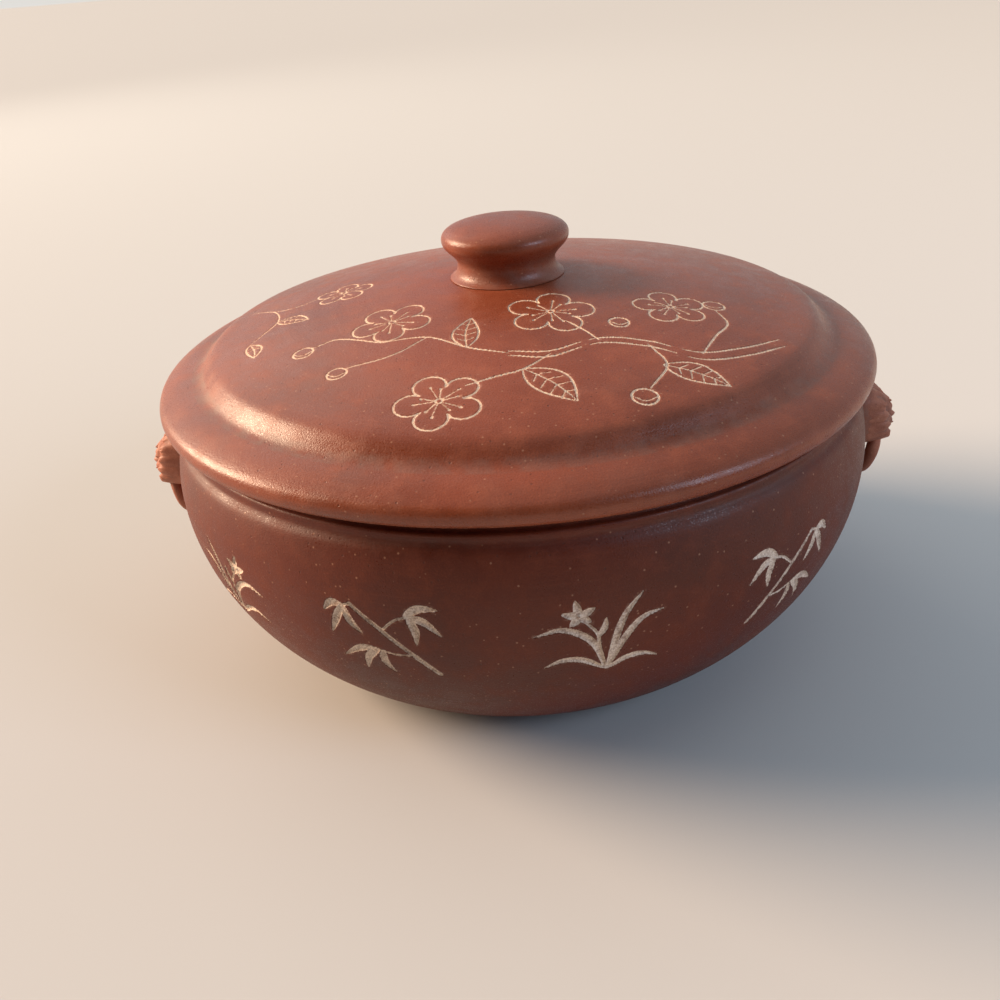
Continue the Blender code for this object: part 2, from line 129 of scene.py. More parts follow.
# Lugs and their rings
MASK_LEVEL = 0.0670
MASK_HALF_WIDTH = 0.0165
MASK_HALF_HEIGHT = 0.0115
MASK_SQUARENESS = 3.2
MASK_STAND = 0.0122
LOOP_RADIUS = 0.0098
LOOP_BAR = 0.0023
LOOP_DROP = 0.0028
LOOP_LEAN = math.radians(12)
LOOP_CLEARANCE = 0.0055
SOCKET_DEPTH = 0.0022
MASK_EMBEDDED = 0.6 * MM    # a mask's back lies this far under the belly's skin

# Turning
POLE = 0.15 * MM            # an outline that reaches the axis stops here, and a small cap closes it
OUTLINE_STEP = 0.1 * MM     # an outline is measured this densely before its rows are chosen
CLOSEST_ROWS = 0.35 * MM
TURN_PER_ROW = math.radians(9)
CARVED_MARGIN = 0.5 * MM
FAR = 4 * MM                # a stroke's distance is worked out up to here
PAIRS_AT_ONCE = 2_000_000   # places times segments that are measured in one go
CURVE_STEPS = 40            # places on an arc or a blend


# Outlines: arrays of (radius, height)

def toward(angle):
    """The place one step from the origin at each angle: its cosine and its sine."""
    return np.stack([np.cos(angle), np.sin(angle)], -1)


def arc(centre, radius, start, end):
    """A circle's arc between two angles in degrees."""
    return centre + radius * toward(np.radians(np.linspace(start, end, CURVE_STEPS)))


def swell(share):
    """Half a cosine wave from zero to one, level at both ends."""
    return (1 - np.cos(np.pi * share)) / 2


def length_along(line):
    """How far along a line each of its points lies."""
    return np.concatenate([[0], np.cumsum(np.linalg.norm(np.diff(line, axis=0), axis=1))])


def half_height(radius, widest, rise):
    """Half height of the ellipse of half width widest that has this radius at rise from its middle."""
    return rise / np.sqrt(1 - (radius / widest) ** 2)


def belly_curve(top, widest, base, rounding):
    """Two quarter ellipses that meet at the widest level, and an arc that rounds the base's corner.

    The arc touches the lower ellipse where the ellipse's normal, taken inwards by the arc's radius,
    ends one radius above the flat. The ellipse is worked out finely to find that place, and every
    twelfth point of it is kept.
    """
    upper = half_height(top[0], widest[0], top[1] - widest[1])
    lower = half_height(base[0], widest[0], widest[1] - base[1])
    angle = np.linspace(0, np.arccos(base[0] / widest[0]), 4001)
    normal = np.stack([np.cos(angle) / widest[0], -np.sin(angle) / lower], 1)
    normal /= np.linalg.norm(normal, axis=1)[:, None]
    wall = np.stack([widest[0] * np.cos(angle), widest[1] - lower * np.sin(angle)], 1)
    centres = wall - rounding * normal
    last = np.argmin(np.abs(centres[:, 1] - base[1] - rounding))
    start = np.degrees(np.arctan2(normal[last, 1], normal[last, 0]))
    rise = np.linspace(np.arccos(top[0] / widest[0]), 0, 200)[:-1]
    above = np.stack([widest[0] * np.cos(rise), widest[1] + upper * np.sin(rise)], 1)
    return np.concatenate([above, wall[:last:12], arc(centres[last], rounding, start, -90)])


def belly_radius(z):
    """Outside radius of the belly at a height, on the same two ellipses."""
    upper = half_height(SHOULDER_RADIUS, BELLY_RADIUS, SHOULDER_LEVEL - BELLY_LEVEL)
    lower = half_height(BASE_RADIUS, BELLY_RADIUS, BELLY_LEVEL - BOWL_BOTTOM)
    half = np.where(z > BELLY_LEVEL, upper, lower)
    return BELLY_RADIUS * np.sqrt(1 - ((z - BELLY_LEVEL) / half) ** 2)


def belly_depth(y, z):
    """How far out the belly stands at a place beside the X axis."""
    return np.sqrt(belly_radius(z) ** 2 - y ** 2)


def dome_height(radius):
    """Height of the dome over the lid's seat: it falls with a power of the radius."""
    fall = (np.maximum(radius, KNOB_BASE_RADIUS) / DOME_RADIUS) ** DOME_FULLNESS
    return CREASE_HEIGHT + SHOULDER_RISE + DOME_RISE * (1 - fall)


def bowl_outline():
    """Lip, neck and belly, the steam hole through the floor, and the belly again one wall further in."""
    lip = arc((LIP_RADIUS - LIP_ROUNDING, BOWL_HEIGHT - LIP_ROUNDING), LIP_ROUNDING, 90, 0)
    neck = [(LIP_RADIUS, LIP_LEVEL), (NECK_RADIUS, LIP_LEVEL - LIP_INSET / 4),
            (NECK_RADIUS, SHOULDER_LEVEL + SHOULDER_STEP)]
    outside = belly_curve((SHOULDER_RADIUS, SHOULDER_LEVEL), (BELLY_RADIUS, BELLY_LEVEL),
                          (BASE_RADIUS, BOWL_BOTTOM), BASE_ROUNDING)
    hole = [(STEAM_HOLE_RADIUS, BOWL_BOTTOM), (STEAM_HOLE_RADIUS, FLOOR_LEVEL)]
    inside = belly_curve((NECK_BORE, SHOULDER_LEVEL), (BELLY_RADIUS - WALL, BELLY_LEVEL),
                         (BASE_RADIUS - WALL, FLOOR_LEVEL), FLOOR_ROUNDING)[::-1]
    rim = [(NECK_BORE, BOWL_HEIGHT - LIP_ROUNDING), (NECK_BORE + LIP_ROUNDING, BOWL_HEIGHT)]
    return np.concatenate([lip, neck, outside, hole, inside, rim])


def band_outline(inner, outer, bottom, top, rounding):
    """A ring's section, with its lower edges rounded."""
    right = arc((outer - rounding, bottom + rounding), rounding, 0, -90)
    left = arc((inner + rounding, bottom + rounding), rounding, -90, -180)
    return np.concatenate([[(inner, top), (outer, top)], right, left])


def taper(height, base, mouth):
    """Radius of the chimney's wall: what is left of the height, to a power, of the base's excess."""
    left = 1 - height / (CHIMNEY_TOP - CHIMNEY_FOOT)
    return mouth + (base - mouth) * left ** CHIMNEY_TAPER


def chimney_outline():
    """Two tapers, outside and bore, joined by half a circle round the mouth."""
    tall = CHIMNEY_TOP - CHIMNEY_FOOT
    lip = CHIMNEY_MOUTH_WALL / 2
    height = np.linspace(0, tall - lip, 120)
    outer = CHIMNEY_MOUTH_RADIUS + CHIMNEY_MOUTH_WALL
    outside = np.stack([taper(height, CHIMNEY_BASE, outer), height], 1)
    crown = arc((CHIMNEY_MOUTH_RADIUS + lip, tall - lip), lip, 0, 180)[1:-1]
    bore = np.stack([taper(height, STEAM_HOLE_RADIUS, CHIMNEY_MOUTH_RADIUS), height], 1)[::-1]
    return np.concatenate([outside, crown, bore]) + (0, CHIMNEY_FOOT)


def coil_outline():
    """A quarter of an ellipse against the chimney's foot."""
    tall = COIL_TOP - COIL_FOOT
    height = np.linspace(tall, 0, 30)
    wall = taper(height, CHIMNEY_BASE, CHIMNEY_MOUTH_RADIUS + CHIMNEY_MOUTH_WALL) + SEAM
    against = np.stack([wall, height], 1)
    angle = np.linspace(0, np.pi / 2, 50)[:-1]
    bulge = toward(angle) * (COIL_RADIUS - wall[0], tall) + (wall[0], 0)
    return np.concatenate([against, bulge]) + (0, COIL_FOOT)


def lid_outline():
    """The dome, a shoulder that falls by a smooth cubic, a brim bowed up by a parabola, and the roll.

    The sponge softens all but the roll. Underneath, half a cosine wave leads up to the dome's hollow.
    """
    radius = np.linspace(POLE, DOME_RADIUS, 300)
    dome = np.stack([radius, dome_height(radius)], 1)
    crease = np.array((CREASE_RADIUS, CREASE_HEIGHT))
    share = np.linspace(0, 1, CURVE_STEPS)[1:-1, None]
    slope = np.array((0, -DOME_FULLNESS * DOME_RISE / DOME_RADIUS * (crease[0] - DOME_RADIUS)))
    shoulder = dome[-1] + (crease - dome[-1]) * np.hstack([share, share ** 2 * (3 - 2 * share)])
    shoulder = shoulder + slope * share * (1 - share) ** 2
    roll = arc((LID_RADIUS - EDGE_ROLL_RADIUS, EDGE_ROLL_RADIUS), EDGE_ROLL_RADIUS, ROLL_START, -90)
    share = np.linspace(0, 1, CURVE_STEPS)[:-1, None]
    brim = crease + (roll[0] - crease) * share + np.array((0, 4 * BRIM_CROWN)) * share * (1 - share)
    top = np.concatenate([dome, shoulder, brim])
    length = length_along(top)
    at = np.arange(0, length[-1], OUTLINE_STEP)
    top = np.stack([soften(np.interp(at, length, values), SPONGED / OUTLINE_STEP, False)
                    for values in top.T], 1)
    edge = LEDGE_RADIUS - LID_WALL
    share = np.linspace(0, 1, CURVE_STEPS)
    rise = np.stack([LEDGE_RADIUS + (edge - LEDGE_RADIUS) * share,
                     (dome_height(edge) - LID_WALL) * swell(share)], 1)
    radius = np.linspace(edge, POLE, 200)[1:]
    hollow = np.stack([radius, dome_height(radius) - LID_WALL], 1)
    return np.concatenate([top, roll, rise, hollow]) + (0, LID_SEAT)


def knob_outline():
    """A flare at the base, a cosine undercut, and a quarter of a superellipse for the cap."""
    left = np.linspace(1, 0, 30)[:-1]
    skirt = left ** KNOB_LUTING_POWER
    flare = KNOB_NECK_RADIUS + (KNOB_BASE_RADIUS - KNOB_NECK_RADIUS) * left ** 2 + KNOB_LUTING * skirt
    flare = np.stack([flare, KNOB_NECK_HEIGHT * (1 - left) - KNOB_LUTING_DIP * skirt], 1)
    share = np.linspace(0, 1, 50)[:-1]
    undercut = np.stack([KNOB_NECK_RADIUS + (KNOB_RADIUS - KNOB_NECK_RADIUS) * swell(share),
                         KNOB_NECK_HEIGHT + KNOB_UNDERCUT * share], 1)
    widest = KNOB_NECK_HEIGHT + KNOB_UNDERCUT
    cap = KNOB_TOP - KNOB_BOTTOM - widest
    angle = np.linspace(0, np.pi / 2, 400)[:-1]
    power = 2 / KNOB_SQUARENESS
    top = np.stack([KNOB_RADIUS * np.cos(angle) ** power, widest + cap * np.sin(angle) ** power], 1)
    outline = np.concatenate([[(POLE, 0)], flare, undercut, top, [(POLE, widest + cap)]])
    return outline + (0, KNOB_BOTTOM)


# Meshes

def build(name, corners, faces, values=()):
    """A smooth mesh from corners, groups of faces with equal numbers of sides, and named values."""
    mesh = bpy.data.meshes.new(name)
    loops = np.concatenate([group.ravel() for group in faces]).astype(np.int32)
    sides = np.concatenate([np.full(len(group), group.shape[1]) for group in faces])
    mesh.vertices.add(len(corners))
    mesh.vertices.foreach_set("co", corners.astype(np.float32).ravel())
    mesh.loops.add(len(loops))
    mesh.loops.foreach_set("vertex_index", loops)
    mesh.polygons.add(len(sides))
    mesh.polygons.foreach_set("loop_start", (np.cumsum(sides) - sides).astype(np.int32))
    mesh.update(calc_edges=True)
    for label, value in dict(values).items():
        mesh.attributes.new(label, "FLOAT", "POINT").data.foreach_set("value", value.astype(np.float32))
    mesh.shade_smooth()
    piece = bpy.data.objects.new(name, mesh)
    bpy.context.scene.collection.objects.link(piece)
    return piece


def carried_on(values, reach, closed):
    """Values carried on past both ends: round again, or mirrored through the end point."""
    if closed:
        return np.pad(values, reach, mode="wrap")
    return np.pad(values, reach, mode="reflect", reflect_type="odd")


def soften(values, sigma, closed):
    """A running average weighted by a bell curve, whose width is in samples."""
    reach = int(4 * sigma) + 1
    weight = np.exp(-0.5 * (np.arange(-reach, reach + 1) / sigma) ** 2)
    return np.convolve(carried_on(values, reach, closed), weight / weight.sum(), "valid")


def worn_outline(points, split, closed, edge, coarsest):
    """The outline with its corners worn round, cut into rows that crowd where it bends.

    The outline runs anticlockwise. Its corners are averaged over the edge's length. A row's height
    is the bend's radius times a fixed angle, held between limits, so rows lie at equal shares of
    the running total of one over that height. Each is then split. Returns the points, the outward
    normals and how sharply each place bends, with hollows below zero.
    """
    r, z = points.T
    if np.sum(r * np.roll(z, -1) - np.roll(r, -1) * z) < 0:
        points = points[::-1]
    loop = np.concatenate([points, points[:1]]) if closed else points
    length = length_along(loop)
    at = np.linspace(0, length[-1], int(length[-1] / OUTLINE_STEP) + 1)
    step = at[1]
    if closed:
        at = at[:-1]
    line = [soften(np.interp(at, length, values), edge / step, closed) for values in loop.T]
    slope = [values[2:] - values[:-2] for values in (carried_on(values, 1, closed) for values in line)]
    heading = (slope[0] + 1j * slope[1]) / np.hypot(*slope)
    beside = np.pad(heading, 1, mode="wrap" if closed else "edge")
    bend = np.angle(beside[2:] / beside[:-2]) / (2 * step)
    height = np.clip(TURN_PER_ROW / (np.abs(bend) + 1), CLOSEST_ROWS, coarsest)
    height = np.exp(soften(np.log(height), MM / step, closed))
    lines = [line[0], line[1], heading.imag, -heading.real, bend, 1 / height]
    if closed:
        lines = [np.append(values, values[0]) for values in lines]
    count = lines[5]
    total = np.concatenate([[0], np.cumsum((count[1:] + count[:-1]) / 2)]) * step
    rows = int(np.ceil(total[-1]))
    wanted = np.linspace(0, total[-1], rows * split + 1)[:-1 if closed else None]
    pick = [np.interp(wanted, total, values) for values in lines[:5]]
    return np.stack(pick[:2], 1), np.stack(pick[2:4], 1), pick[4]


def split_grid(fine_rows, fine_columns, split_r, split_c, refined, closed):
    """Faces of a grid that closes sideways, with its refined cells split.

    A cell beside a split one takes in the corners on their common side, so that no gap opens. The
    cells are taken in sixteen groups, by which of their four sides meet a split cell.
    """
    def corner(i, j):
        return (i % fine_rows) * fine_columns + j % fine_columns

    i, j = np.nonzero(refined)
    a, b = np.indices((split_r, split_c)).reshape(2, -1)
    i, j = (i[:, None] * split_r + a).ravel(), (j[:, None] * split_c + b).ravel()
    faces = [np.stack([corner(i, j), corner(i, j + 1), corner(i + 1, j + 1), corner(i + 1, j)], 1)]
    beside = [np.roll(refined, by, axis) for by, axis in ((1, 0), (-1, 1), (-1, 0), (1, 1))]
    if not closed:
        beside[0][0] = beside[2][-1] = False
    for pattern in range(16):
        cut = [bool(pattern >> side & 1) for side in range(4)]
        group = ~refined
        for side in range(4):
            group = group & (beside[side] == cut[side])
        i, j = np.nonzero(group)
        first = [(0, k) for k in range(split_c if cut[0] else 1)]
        right = [(k, split_c) for k in range(split_r if cut[1] else 1)]
        second = [(split_r, split_c - k) for k in range(split_c if cut[2] else 1)]
        left = [(split_r - k, 0) for k in range(split_r if cut[3] else 1)]
        round_cell = first + right + second + left
        faces.append(np.stack([corner(i * split_r + di, j * split_c + dj) for di, dj in round_cell], 1))
    return [group for group in faces if len(group)]


def turned(name, outline, columns, hand, closed=True, carving=None, split=(1, 1), edge=0.25 * MM,
           coarsest=2.4 * MM):
    """Spin an outline round the axis.

    A corner is the outline's point at its row, turned by its column's angle, and moved along the
    outline's normal by the hand's unevenness and the carving's depth. Columns is how many cells go
    round, and split how many rows and columns a carved one is cut into.
    """
    split_r, split_c = split
    points, out, bend = worn_outline(outline, split_r, closed, edge, coarsest)
    fine_columns = columns * split_c
    rows = (len(points) if closed else len(points) - 1) // split_r
    refined = np.zeros((rows, columns), bool)
    if carving:
        i, j = np.indices((rows, columns)).reshape(2, -1)
        i = i * split_r + split_r // 2
        angle = 2 * np.pi * (j + 0.5) / columns
        half_cell = 0.5 * math.hypot(coarsest, 2 * np.pi * points[:, 0].max() / columns)
        distance = carving["distance"](points[i], out[i], angle)
        refined = (distance < half_cell + CARVED_MARGIN).reshape(rows, columns)
    faces = split_grid(len(points), fine_columns, split_r, split_c, refined, closed)
    if not closed:
        ends = np.arange(0, fine_columns, split_c)[None]
        faces += [ends[:, ::-1], (len(points) - 1) * fine_columns + ends]
    used, renumbered = np.unique(np.concatenate([group.ravel() for group in faces]), return_inverse=True)
    cuts = np.cumsum([group.size for group in faces])[:-1]
    faces = [part.reshape(group.shape) for part, group in zip(np.split(renumbered, cuts), faces)]
    i, angle = used // fine_columns, 2 * np.pi * (used % fine_columns) / fine_columns
    values = {"bend": np.clip(bend[i] * MM, -1, 1)}
    offset = hand(points[i], out[i], angle)
    if carving:
        distance = carving["distance"](points[i], out[i], angle)
        offset = offset + groove(distance, carving["depth"])
        values["carving"] = np.clip(distance / MM, -2, 2)
    place = points[i] + out[i] * offset[:, None]
    corners = np.stack([place[:, 0] * np.sin(angle), -place[:, 0] * np.cos(angle), place[:, 1]], 1)
    return build(name, corners, faces, values)


# Carving: strokes are segments (from, to, half width at each end) in millimetres

def groove(distance, depth):
    """Sides that slope by a smooth cubic, a flat floor, and a low bell of burr just outside the edge."""
    slope, burr_height, burr_place, burr_width = 0.45 * depth, 0.12 * depth, 0.12 * MM, 0.16 * MM
    side = np.clip(-distance / slope, 0, 1)
    burr = burr_height * np.exp(-((distance - burr_place) / burr_width) ** 2)
    return burr - depth * side * side * (3 - 2 * side)


def stroke(points, width, ends=0.55):
    """Segments along a line, thinner over the last fifth at both ends, and wavering in width."""
    waver = 0.09
    points = np.asarray(points, float)
    share = np.linspace(0, 1, len(points))
    half = 0.5 * width * (ends + (1 - ends) * np.minimum(1, 5 * np.minimum(share, 1 - share)))
    half = half * (1 + waver * np.sin(7 * points[:, 0] + 5 * points[:, 1]))
    return np.column_stack([points[:-1], points[1:], half[:-1], half[1:]])


def curve(knots, steps=28):
    """A smooth line through knots: cubics, whose slope at a knot is half the way past it on both sides."""
    knots = np.asarray(knots, float)
    ends = np.concatenate([[2 * knots[0] - knots[1]], knots, [2 * knots[-1] - knots[-2]]])
    a, b, c, d = (ends[k:len(ends) - 3 + k, None] for k in range(4))
    t = np.linspace(0, 1, steps, endpoint=False)[None, :, None]
    line = 0.5 * (2 * b + (c - a) * t + (2 * a - 5 * b + 4 * c - d) * t ** 2
                  + (3 * b - a - 3 * c + d) * t ** 3)
    return np.concatenate([line.reshape(-1, 2), knots[-1:]])


def drawn(knots, width):
    """A stroke along a smooth line through knots."""
    return stroke(curve(knots), width)


def spiral(centre, outer, inner, start, turns, steps):
    """A line whose distance from its centre shrinks evenly as it turns."""
    share = np.linspace(0, 1, steps)
    angle = np.radians(start) + 2 * np.pi * turns * share
    return centre + (outer + (inner - outer) * share)[:, None] * toward(angle)


def placed(strokes, centre, size, turn, flip=1):
    """Strokes mirrored, scaled, turned and moved."""
    a = math.radians(turn)
    spin = np.array([[math.cos(a), math.sin(a)], [-math.sin(a), math.cos(a)]])
    points = (strokes[:, :4].reshape(-1, 2) * (flip * size, size)) @ spin + centre
    return np.column_stack([points.reshape(-1, 4), strokes[:, 4:]])


def stroke_distance(flat, motifs):
    """Distance from each place to the nearest stroke's edge, below zero inside it, up to FAR.

    A stroke's segment is a capsule: the distance to its line less its half width there.
    """
    best = np.full(len(flat), FAR)
    for motif in motifs:
        motif = motif * MM
        a, b = motif[:, 0:2], motif[:, 2:4]
        low = np.minimum(a.min(0), b.min(0)) - FAR
        high = np.maximum(a.max(0), b.max(0)) + FAR
        near = np.nonzero(((flat > low) & (flat < high)).all(1))[0]
        run = b - a
        size = np.maximum((run ** 2).sum(1), 1e-15)     # a dot's two ends are one place
        for part in np.array_split(near, len(near) * len(a) // PAIRS_AT_ONCE + 1):
            gap = flat[part][:, None] - a
            share = np.clip((gap * run).sum(2) / size, 0, 1)
            edge = motif[:, 4] + (motif[:, 5] - motif[:, 4]) * share
            gap = np.linalg.norm(gap - share[..., None] * run, axis=2) - edge
            best[part] = np.minimum(best[part], gap.min(1, initial=FAR))
    return best


LID_STROKE = 0.62           # width of the needle's line
BELLY_DEPTH, LID_DEPTH = 0.5 * MM, 0.24 * MM
SPRIG_LEVEL = 56.0          # height of the sprigs' middles over the table
# Each sprig's plant, degrees round from the front, mirroring, size and tilt in degrees
SPRIG_PLACES = (("orchid", -48, 1, 1.0, -3), ("bamboo", -18.5, -1, 1.0, 4),
                ("orchid", 10, -1, 1.04, 2), ("bamboo", 40, 1, 1.0, -4))


def blade(knots, width):
    """A leaf cut in one stroke: half its width follows half a sine wave, fullest near its base."""
    points = curve(knots, 12)
    share = np.linspace(0, 1, len(points))
    half = 0.12 + 0.5 * width * np.sin(np.pi * share ** 0.75) ** 0.8
    return np.column_stack([points[:-1], points[1:], half[:-1], half[1:]])


def orchid():
    """A clump of grassy leaves with one flower on a stalk and a bud."""
    root, heart = (-1.5, -12.5), (5.2, 8.0)
    leaves = [((-6.0, -2.0), (-11.0, 4.0), (-17.0, 5.4)), ((-4.2, 0.0), (-7.0, 7.0), (-11.6, 12.2)),
              ((2.2, -1.0), (9.4, 4.6), (17.2, 3.4)), ((4.6, -7.4), (10.0, -6.2), (15.4, -8.4)),
              ((-6.6, -9.4), (-11.6, -9.2), (-16.0, -11.6))]
    lines = [blade((root, *knots), 1.9) for knots in leaves]
    lines.append(drawn([root, (0.2, -4.0), (1.0, 2.0), (4.4, 6.8)], 0.9))
    for degrees, reach in ((80, 5.2), (150, 4.6), (20, 4.8), (-45, 3.6), (215, 3.4)):
        petal = toward(math.radians(degrees))
        lines.append(blade([heart + petal * far for far in (0.7, reach / 2, reach)], 2.1))
    return lines + [blade([(0.8, 0.6), (-1.0, 3.4), (-1.6, 6.6)], 1.7)]


def bamboo():
    """A leaning stem in three joints, with twigs and hanging leaves."""
    stem = [stroke([(-12.6, -13.0), (-7.2, -5.8)], 1.5, 1.1), stroke([(-6.6, -5.0), (0.4, 3.0)], 1.4, 1.1),
            stroke([(1.0, 3.8), (8.6, 11.4)], 1.2, 1.1)]
    twigs = [((-6.9, -5.4), (-1.0, -5.4), (3.6, -4.0)), ((0.7, 3.4), (-4.0, 7.2), (-8.0, 8.4)),
             ((8.6, 11.4), (11.4, 10.6))]
    leaves = [((3.6, -4.0), (9.6, -4.4), (16.6, -8.6)), ((3.6, -4.0), (8.0, -7.6), (10.6, -13.2)),
              ((2.4, -4.6), (3.2, -8.8), (1.4, -13.6)), ((-8.0, 8.4), (-12.4, 7.0), (-16.6, 2.2)),
              ((-8.0, 8.4), (-9.4, 4.0), (-8.8, -1.0)), ((-7.0, 8.6), (-11.6, 11.2), (-17.0, 10.8)),
              ((11.4, 10.6), (14.2, 6.0), (17.2, 0.6)), ((11.0, 10.4), (9.8, 5.6), (7.0, 1.6)),
              ((11.4, 10.8), (14.8, 11.0), (17.6, 8.4))]
    return stem + [drawn(knots, 0.8) for knots in twigs] + [blade(knots, 2.3) for knots in leaves]


def belly_carving():
    """The sprigs round the belly's front. Across is the angle from the front times the radius."""
    drawings = {"orchid": orchid(), "bamboo": bamboo()}
    motifs = []
    for plant, degrees, flip, size, tilt in SPRIG_PLACES:
        centre = (math.radians(degrees) * BELLY_RADIUS / MM, SPRIG_LEVEL)
        motifs += [placed(line, centre, size, tilt, flip) for line in drawings[plant]]

    def distance(points, out, angle):
        across = ((angle + np.pi) % (2 * np.pi) - np.pi) * BELLY_RADIUS
        found = stroke_distance(np.stack([across, points[:, 1]], 1), motifs)
        return np.where(out[:, 0] > 0.2, found, FAR)

    return {"distance": distance, "depth": BELLY_DEPTH}


def blossom(centre, size, turn):
    """Five petals as one line, a small eye, and stamens that end in dots.

    The petals' line runs round, and its radius follows a power of a cosine's size.
    """
    angle = np.linspace(0, 2 * np.pi, 141)
    lobe = np.abs(np.cos(2.5 * angle)) ** 0.55
    petals = (0.52 + 0.48 * lobe)[:, None] * toward(angle)
    parts = [stroke(petals * size, LID_STROKE, 1), stroke(spiral((0, 0), 1.1, 0.9, 0, 1, 16), LID_STROKE, 1)]
    for k in range(10):
        ray = toward(2 * np.pi * (k + 0.3 * (k % 2)) / 10)
        reach = size * (0.42 if k % 2 else 0.55)
        parts.append(stroke([ray * 1.6, ray * reach], 0.36, 1))
        parts.append(stroke([ray * reach, ray * (reach + 0.3)], 0.8, 1))
    return [placed(np.concatenate(parts), centre, 1, turn)]


def leaf(base, tip, fullness, veins=4):
    """Two edges bowed by half a sine wave, a midrib and short side veins."""
    base, tip = np.array(base, float), np.array(tip, float)
    along = tip - base
    across = np.array([-along[1], along[0]])
    share = np.linspace(0, 1, 24)[:, None]
    bow = across * fullness * np.sin(np.pi * share ** 0.85)
    rib = base + along * share + across * 0.06 * np.sin(np.pi * share)
    parts = [stroke(rib + bow, LID_STROKE), stroke(rib - bow, LID_STROKE), stroke(rib, 0.45)]
    for k in range(veins):
        at = 5 + 4 * k
        for side in (1, -1):
            parts.append(stroke([rib[at], rib[at + 2] + side * 0.8 * bow[at]], 0.34, 1))
    return [np.concatenate(parts)]


def branch():
    """A spray of plum blossom: a knotty bough drawn as two broken lines, twigs, buds and leaves."""
    upper = [(80, -47), (68, -55), (54, -60), (40, -55), (26, -54), (12, -61), (0, -60)]
    lower = [(81, -51), (69, -59), (55, -64), (41, -58.5), (26, -57), (12, -64), (0, -62.5)]
    twigs = [[(0, -61), (-12, -56), (-24, -47), (-38, -46)], [(26, -55), (22, -49), (17, -43)],
             [(55, -61), (61, -49), (66, -40), (64, -31)], [(12, -62.5), (4, -70), (-4, -73), (-12, -76)],
             [(40, -57), (44, -68), (38, -80)], [(-24, -47), (-34, -55), (-47, -58)],
             [(-38, -46), (-52, -38), (-60, -40)]]
    broken = ((0, 66), (71, 118), (122, 170))
    lines = [stroke(curve(line)[a:b], LID_STROKE) for line in (upper, lower) for a, b in broken]
    lines += [drawn(line, LID_STROKE) for line in twigs]
    buds = ((64, -27, 3.4), (-63, -42, 3.2), (36, -84, 3.6), (-50, -60, 3.0), (33, -44, 3.0))
    for x, y, size in buds:
        lines.append(stroke(spiral((x, y), size, size, 20, 1, 26), LID_STROKE, 1))
        lines.append(drawn([(x - size, y + 0.4), (x, y - 0.5 * size), (x + size, y + 0.3)], 0.4))
    flowers = ((13, -37, 13.5, 10), (-19, -82, 12.5, 40), (-36, -33, 12.5, -20), (50, -31, 11.5, 30))
    for x, y, size, turn in flowers:
        lines += blossom((x, y), size, turn)
    lines += leaf((43, -68), (60, -77), 0.24) + leaf((-12, -56), (-11, -38), 0.22)
    return lines + leaf((4, -70), (18, -86), 0.25)


def spray():
    """A small loose spray on the lid's left, lightly drawn."""
    lines = [drawn([(-92, 14), (-82, 6), (-78, -8), (-84, -24)], 0.5),
             drawn([(-82, 6), (-74, 4), (-66, 8)], 0.5)]
    lines += leaf((-78, -8), (-66, -14), 0.24, 3) + leaf((-84, -24), (-80, -36), 0.2, 2)
    return lines + blossom((-57, 7), 10, 15)


def lid_carving():
    """The drawing on the dome, seen in plan: x to the right and y to the back."""
    motifs = branch() + spray()

    def distance(points, out, angle):
        flat = points[:, :1] * np.stack([np.sin(angle), -np.cos(angle)], 1)
        found = stroke_distance(flat, motifs)
        return np.where((out[:, 1] > 0.2) & (points[:, 0] > KNOB_BASE_RADIUS), found, FAR)

    return {"distance": distance, "depth": LID_DEPTH}


# How the hand shows: how far a place lies off the true surface

def waves(depth, phase):
    """Minus the depth in millimetres times one plus a sine, so it only takes clay away."""
    return -depth * MM * (1 + np.sin(phase))


def winding(depth, pitch, along, angle):
    """Ridges one pitch apart in millimetres, which wind on with the angle."""
    return waves(depth, 2 * np.pi * along / (pitch * MM) + angle)


def bowl_hand(points, out, angle):
    """Throwing ridges wind up the inside, and the outside is turned almost true."""
    inside = (out[:, 0] < 0.2) & (points[:, 1] > FLOOR_LEVEL - MM) & (points[:, 0] < NECK_BORE + MM)
    ridges = winding(0.11, 3.6, points.sum(1), angle)
    true = -0.03 * MM * (1 + np.sin(2 * angle + 40 * points[:, 1]) * np.sin(angle + 90 * points[:, 1]))
    return np.where(inside, ridges, true)


def lid_hand(points, out, angle):
    """Faint turning waves on the dome, a barely uneven roll, and ridges underneath."""
    under = (out[:, 1] < -0.3) & (points[:, 0] < LEDGE_RADIUS)
    turning = winding(0.035, 7.5, points[:, 0], 2 * np.sin(angle + 1))
    roll = waves(0.04, 3 * angle + 0.7) * (points[:, 0] > CREASE_RADIUS)
    return np.where(under, winding(0.08, 3.4, points[:, 0], angle), turning + roll)


def knob_hand(points, out, angle):
    """Slightly out of round, by a sine wave twice round the axis."""
    return -0.05 * MM * (1 + np.sin(2 * angle + 0.4) * np.clip(points[:, 0] / KNOB_RADIUS, 0, 1))


def finger_hand(points, out, angle):
    """Ridges of the fingers, winding up, and a little lean from side to side."""
    return winding(0.12, 4.2, points[:, 1], angle) + waves(0.08, 3 * angle + 100 * points[:, 1])


def pressed_hand(points, out, angle):
    """Finger presses all round, as a coil is luted down: nineteen cosine waves, unevenly spaced."""
    press = 0.5 + 0.5 * np.cos(19 * angle + 1.2 * np.sin(3 * angle))
    return -0.55 * MM * press * np.clip(out[:, 0], 0, 1) * np.clip(out[:, 1] + 0.2, 0, 1)


# Lugs

def quads(number):
    """The four-sided faces of a grid of corner numbers."""
    return np.stack([number[:-1, :-1], number[1:, :-1], number[1:, 1:], number[:-1, 1:]], 2).reshape(-1, 4)


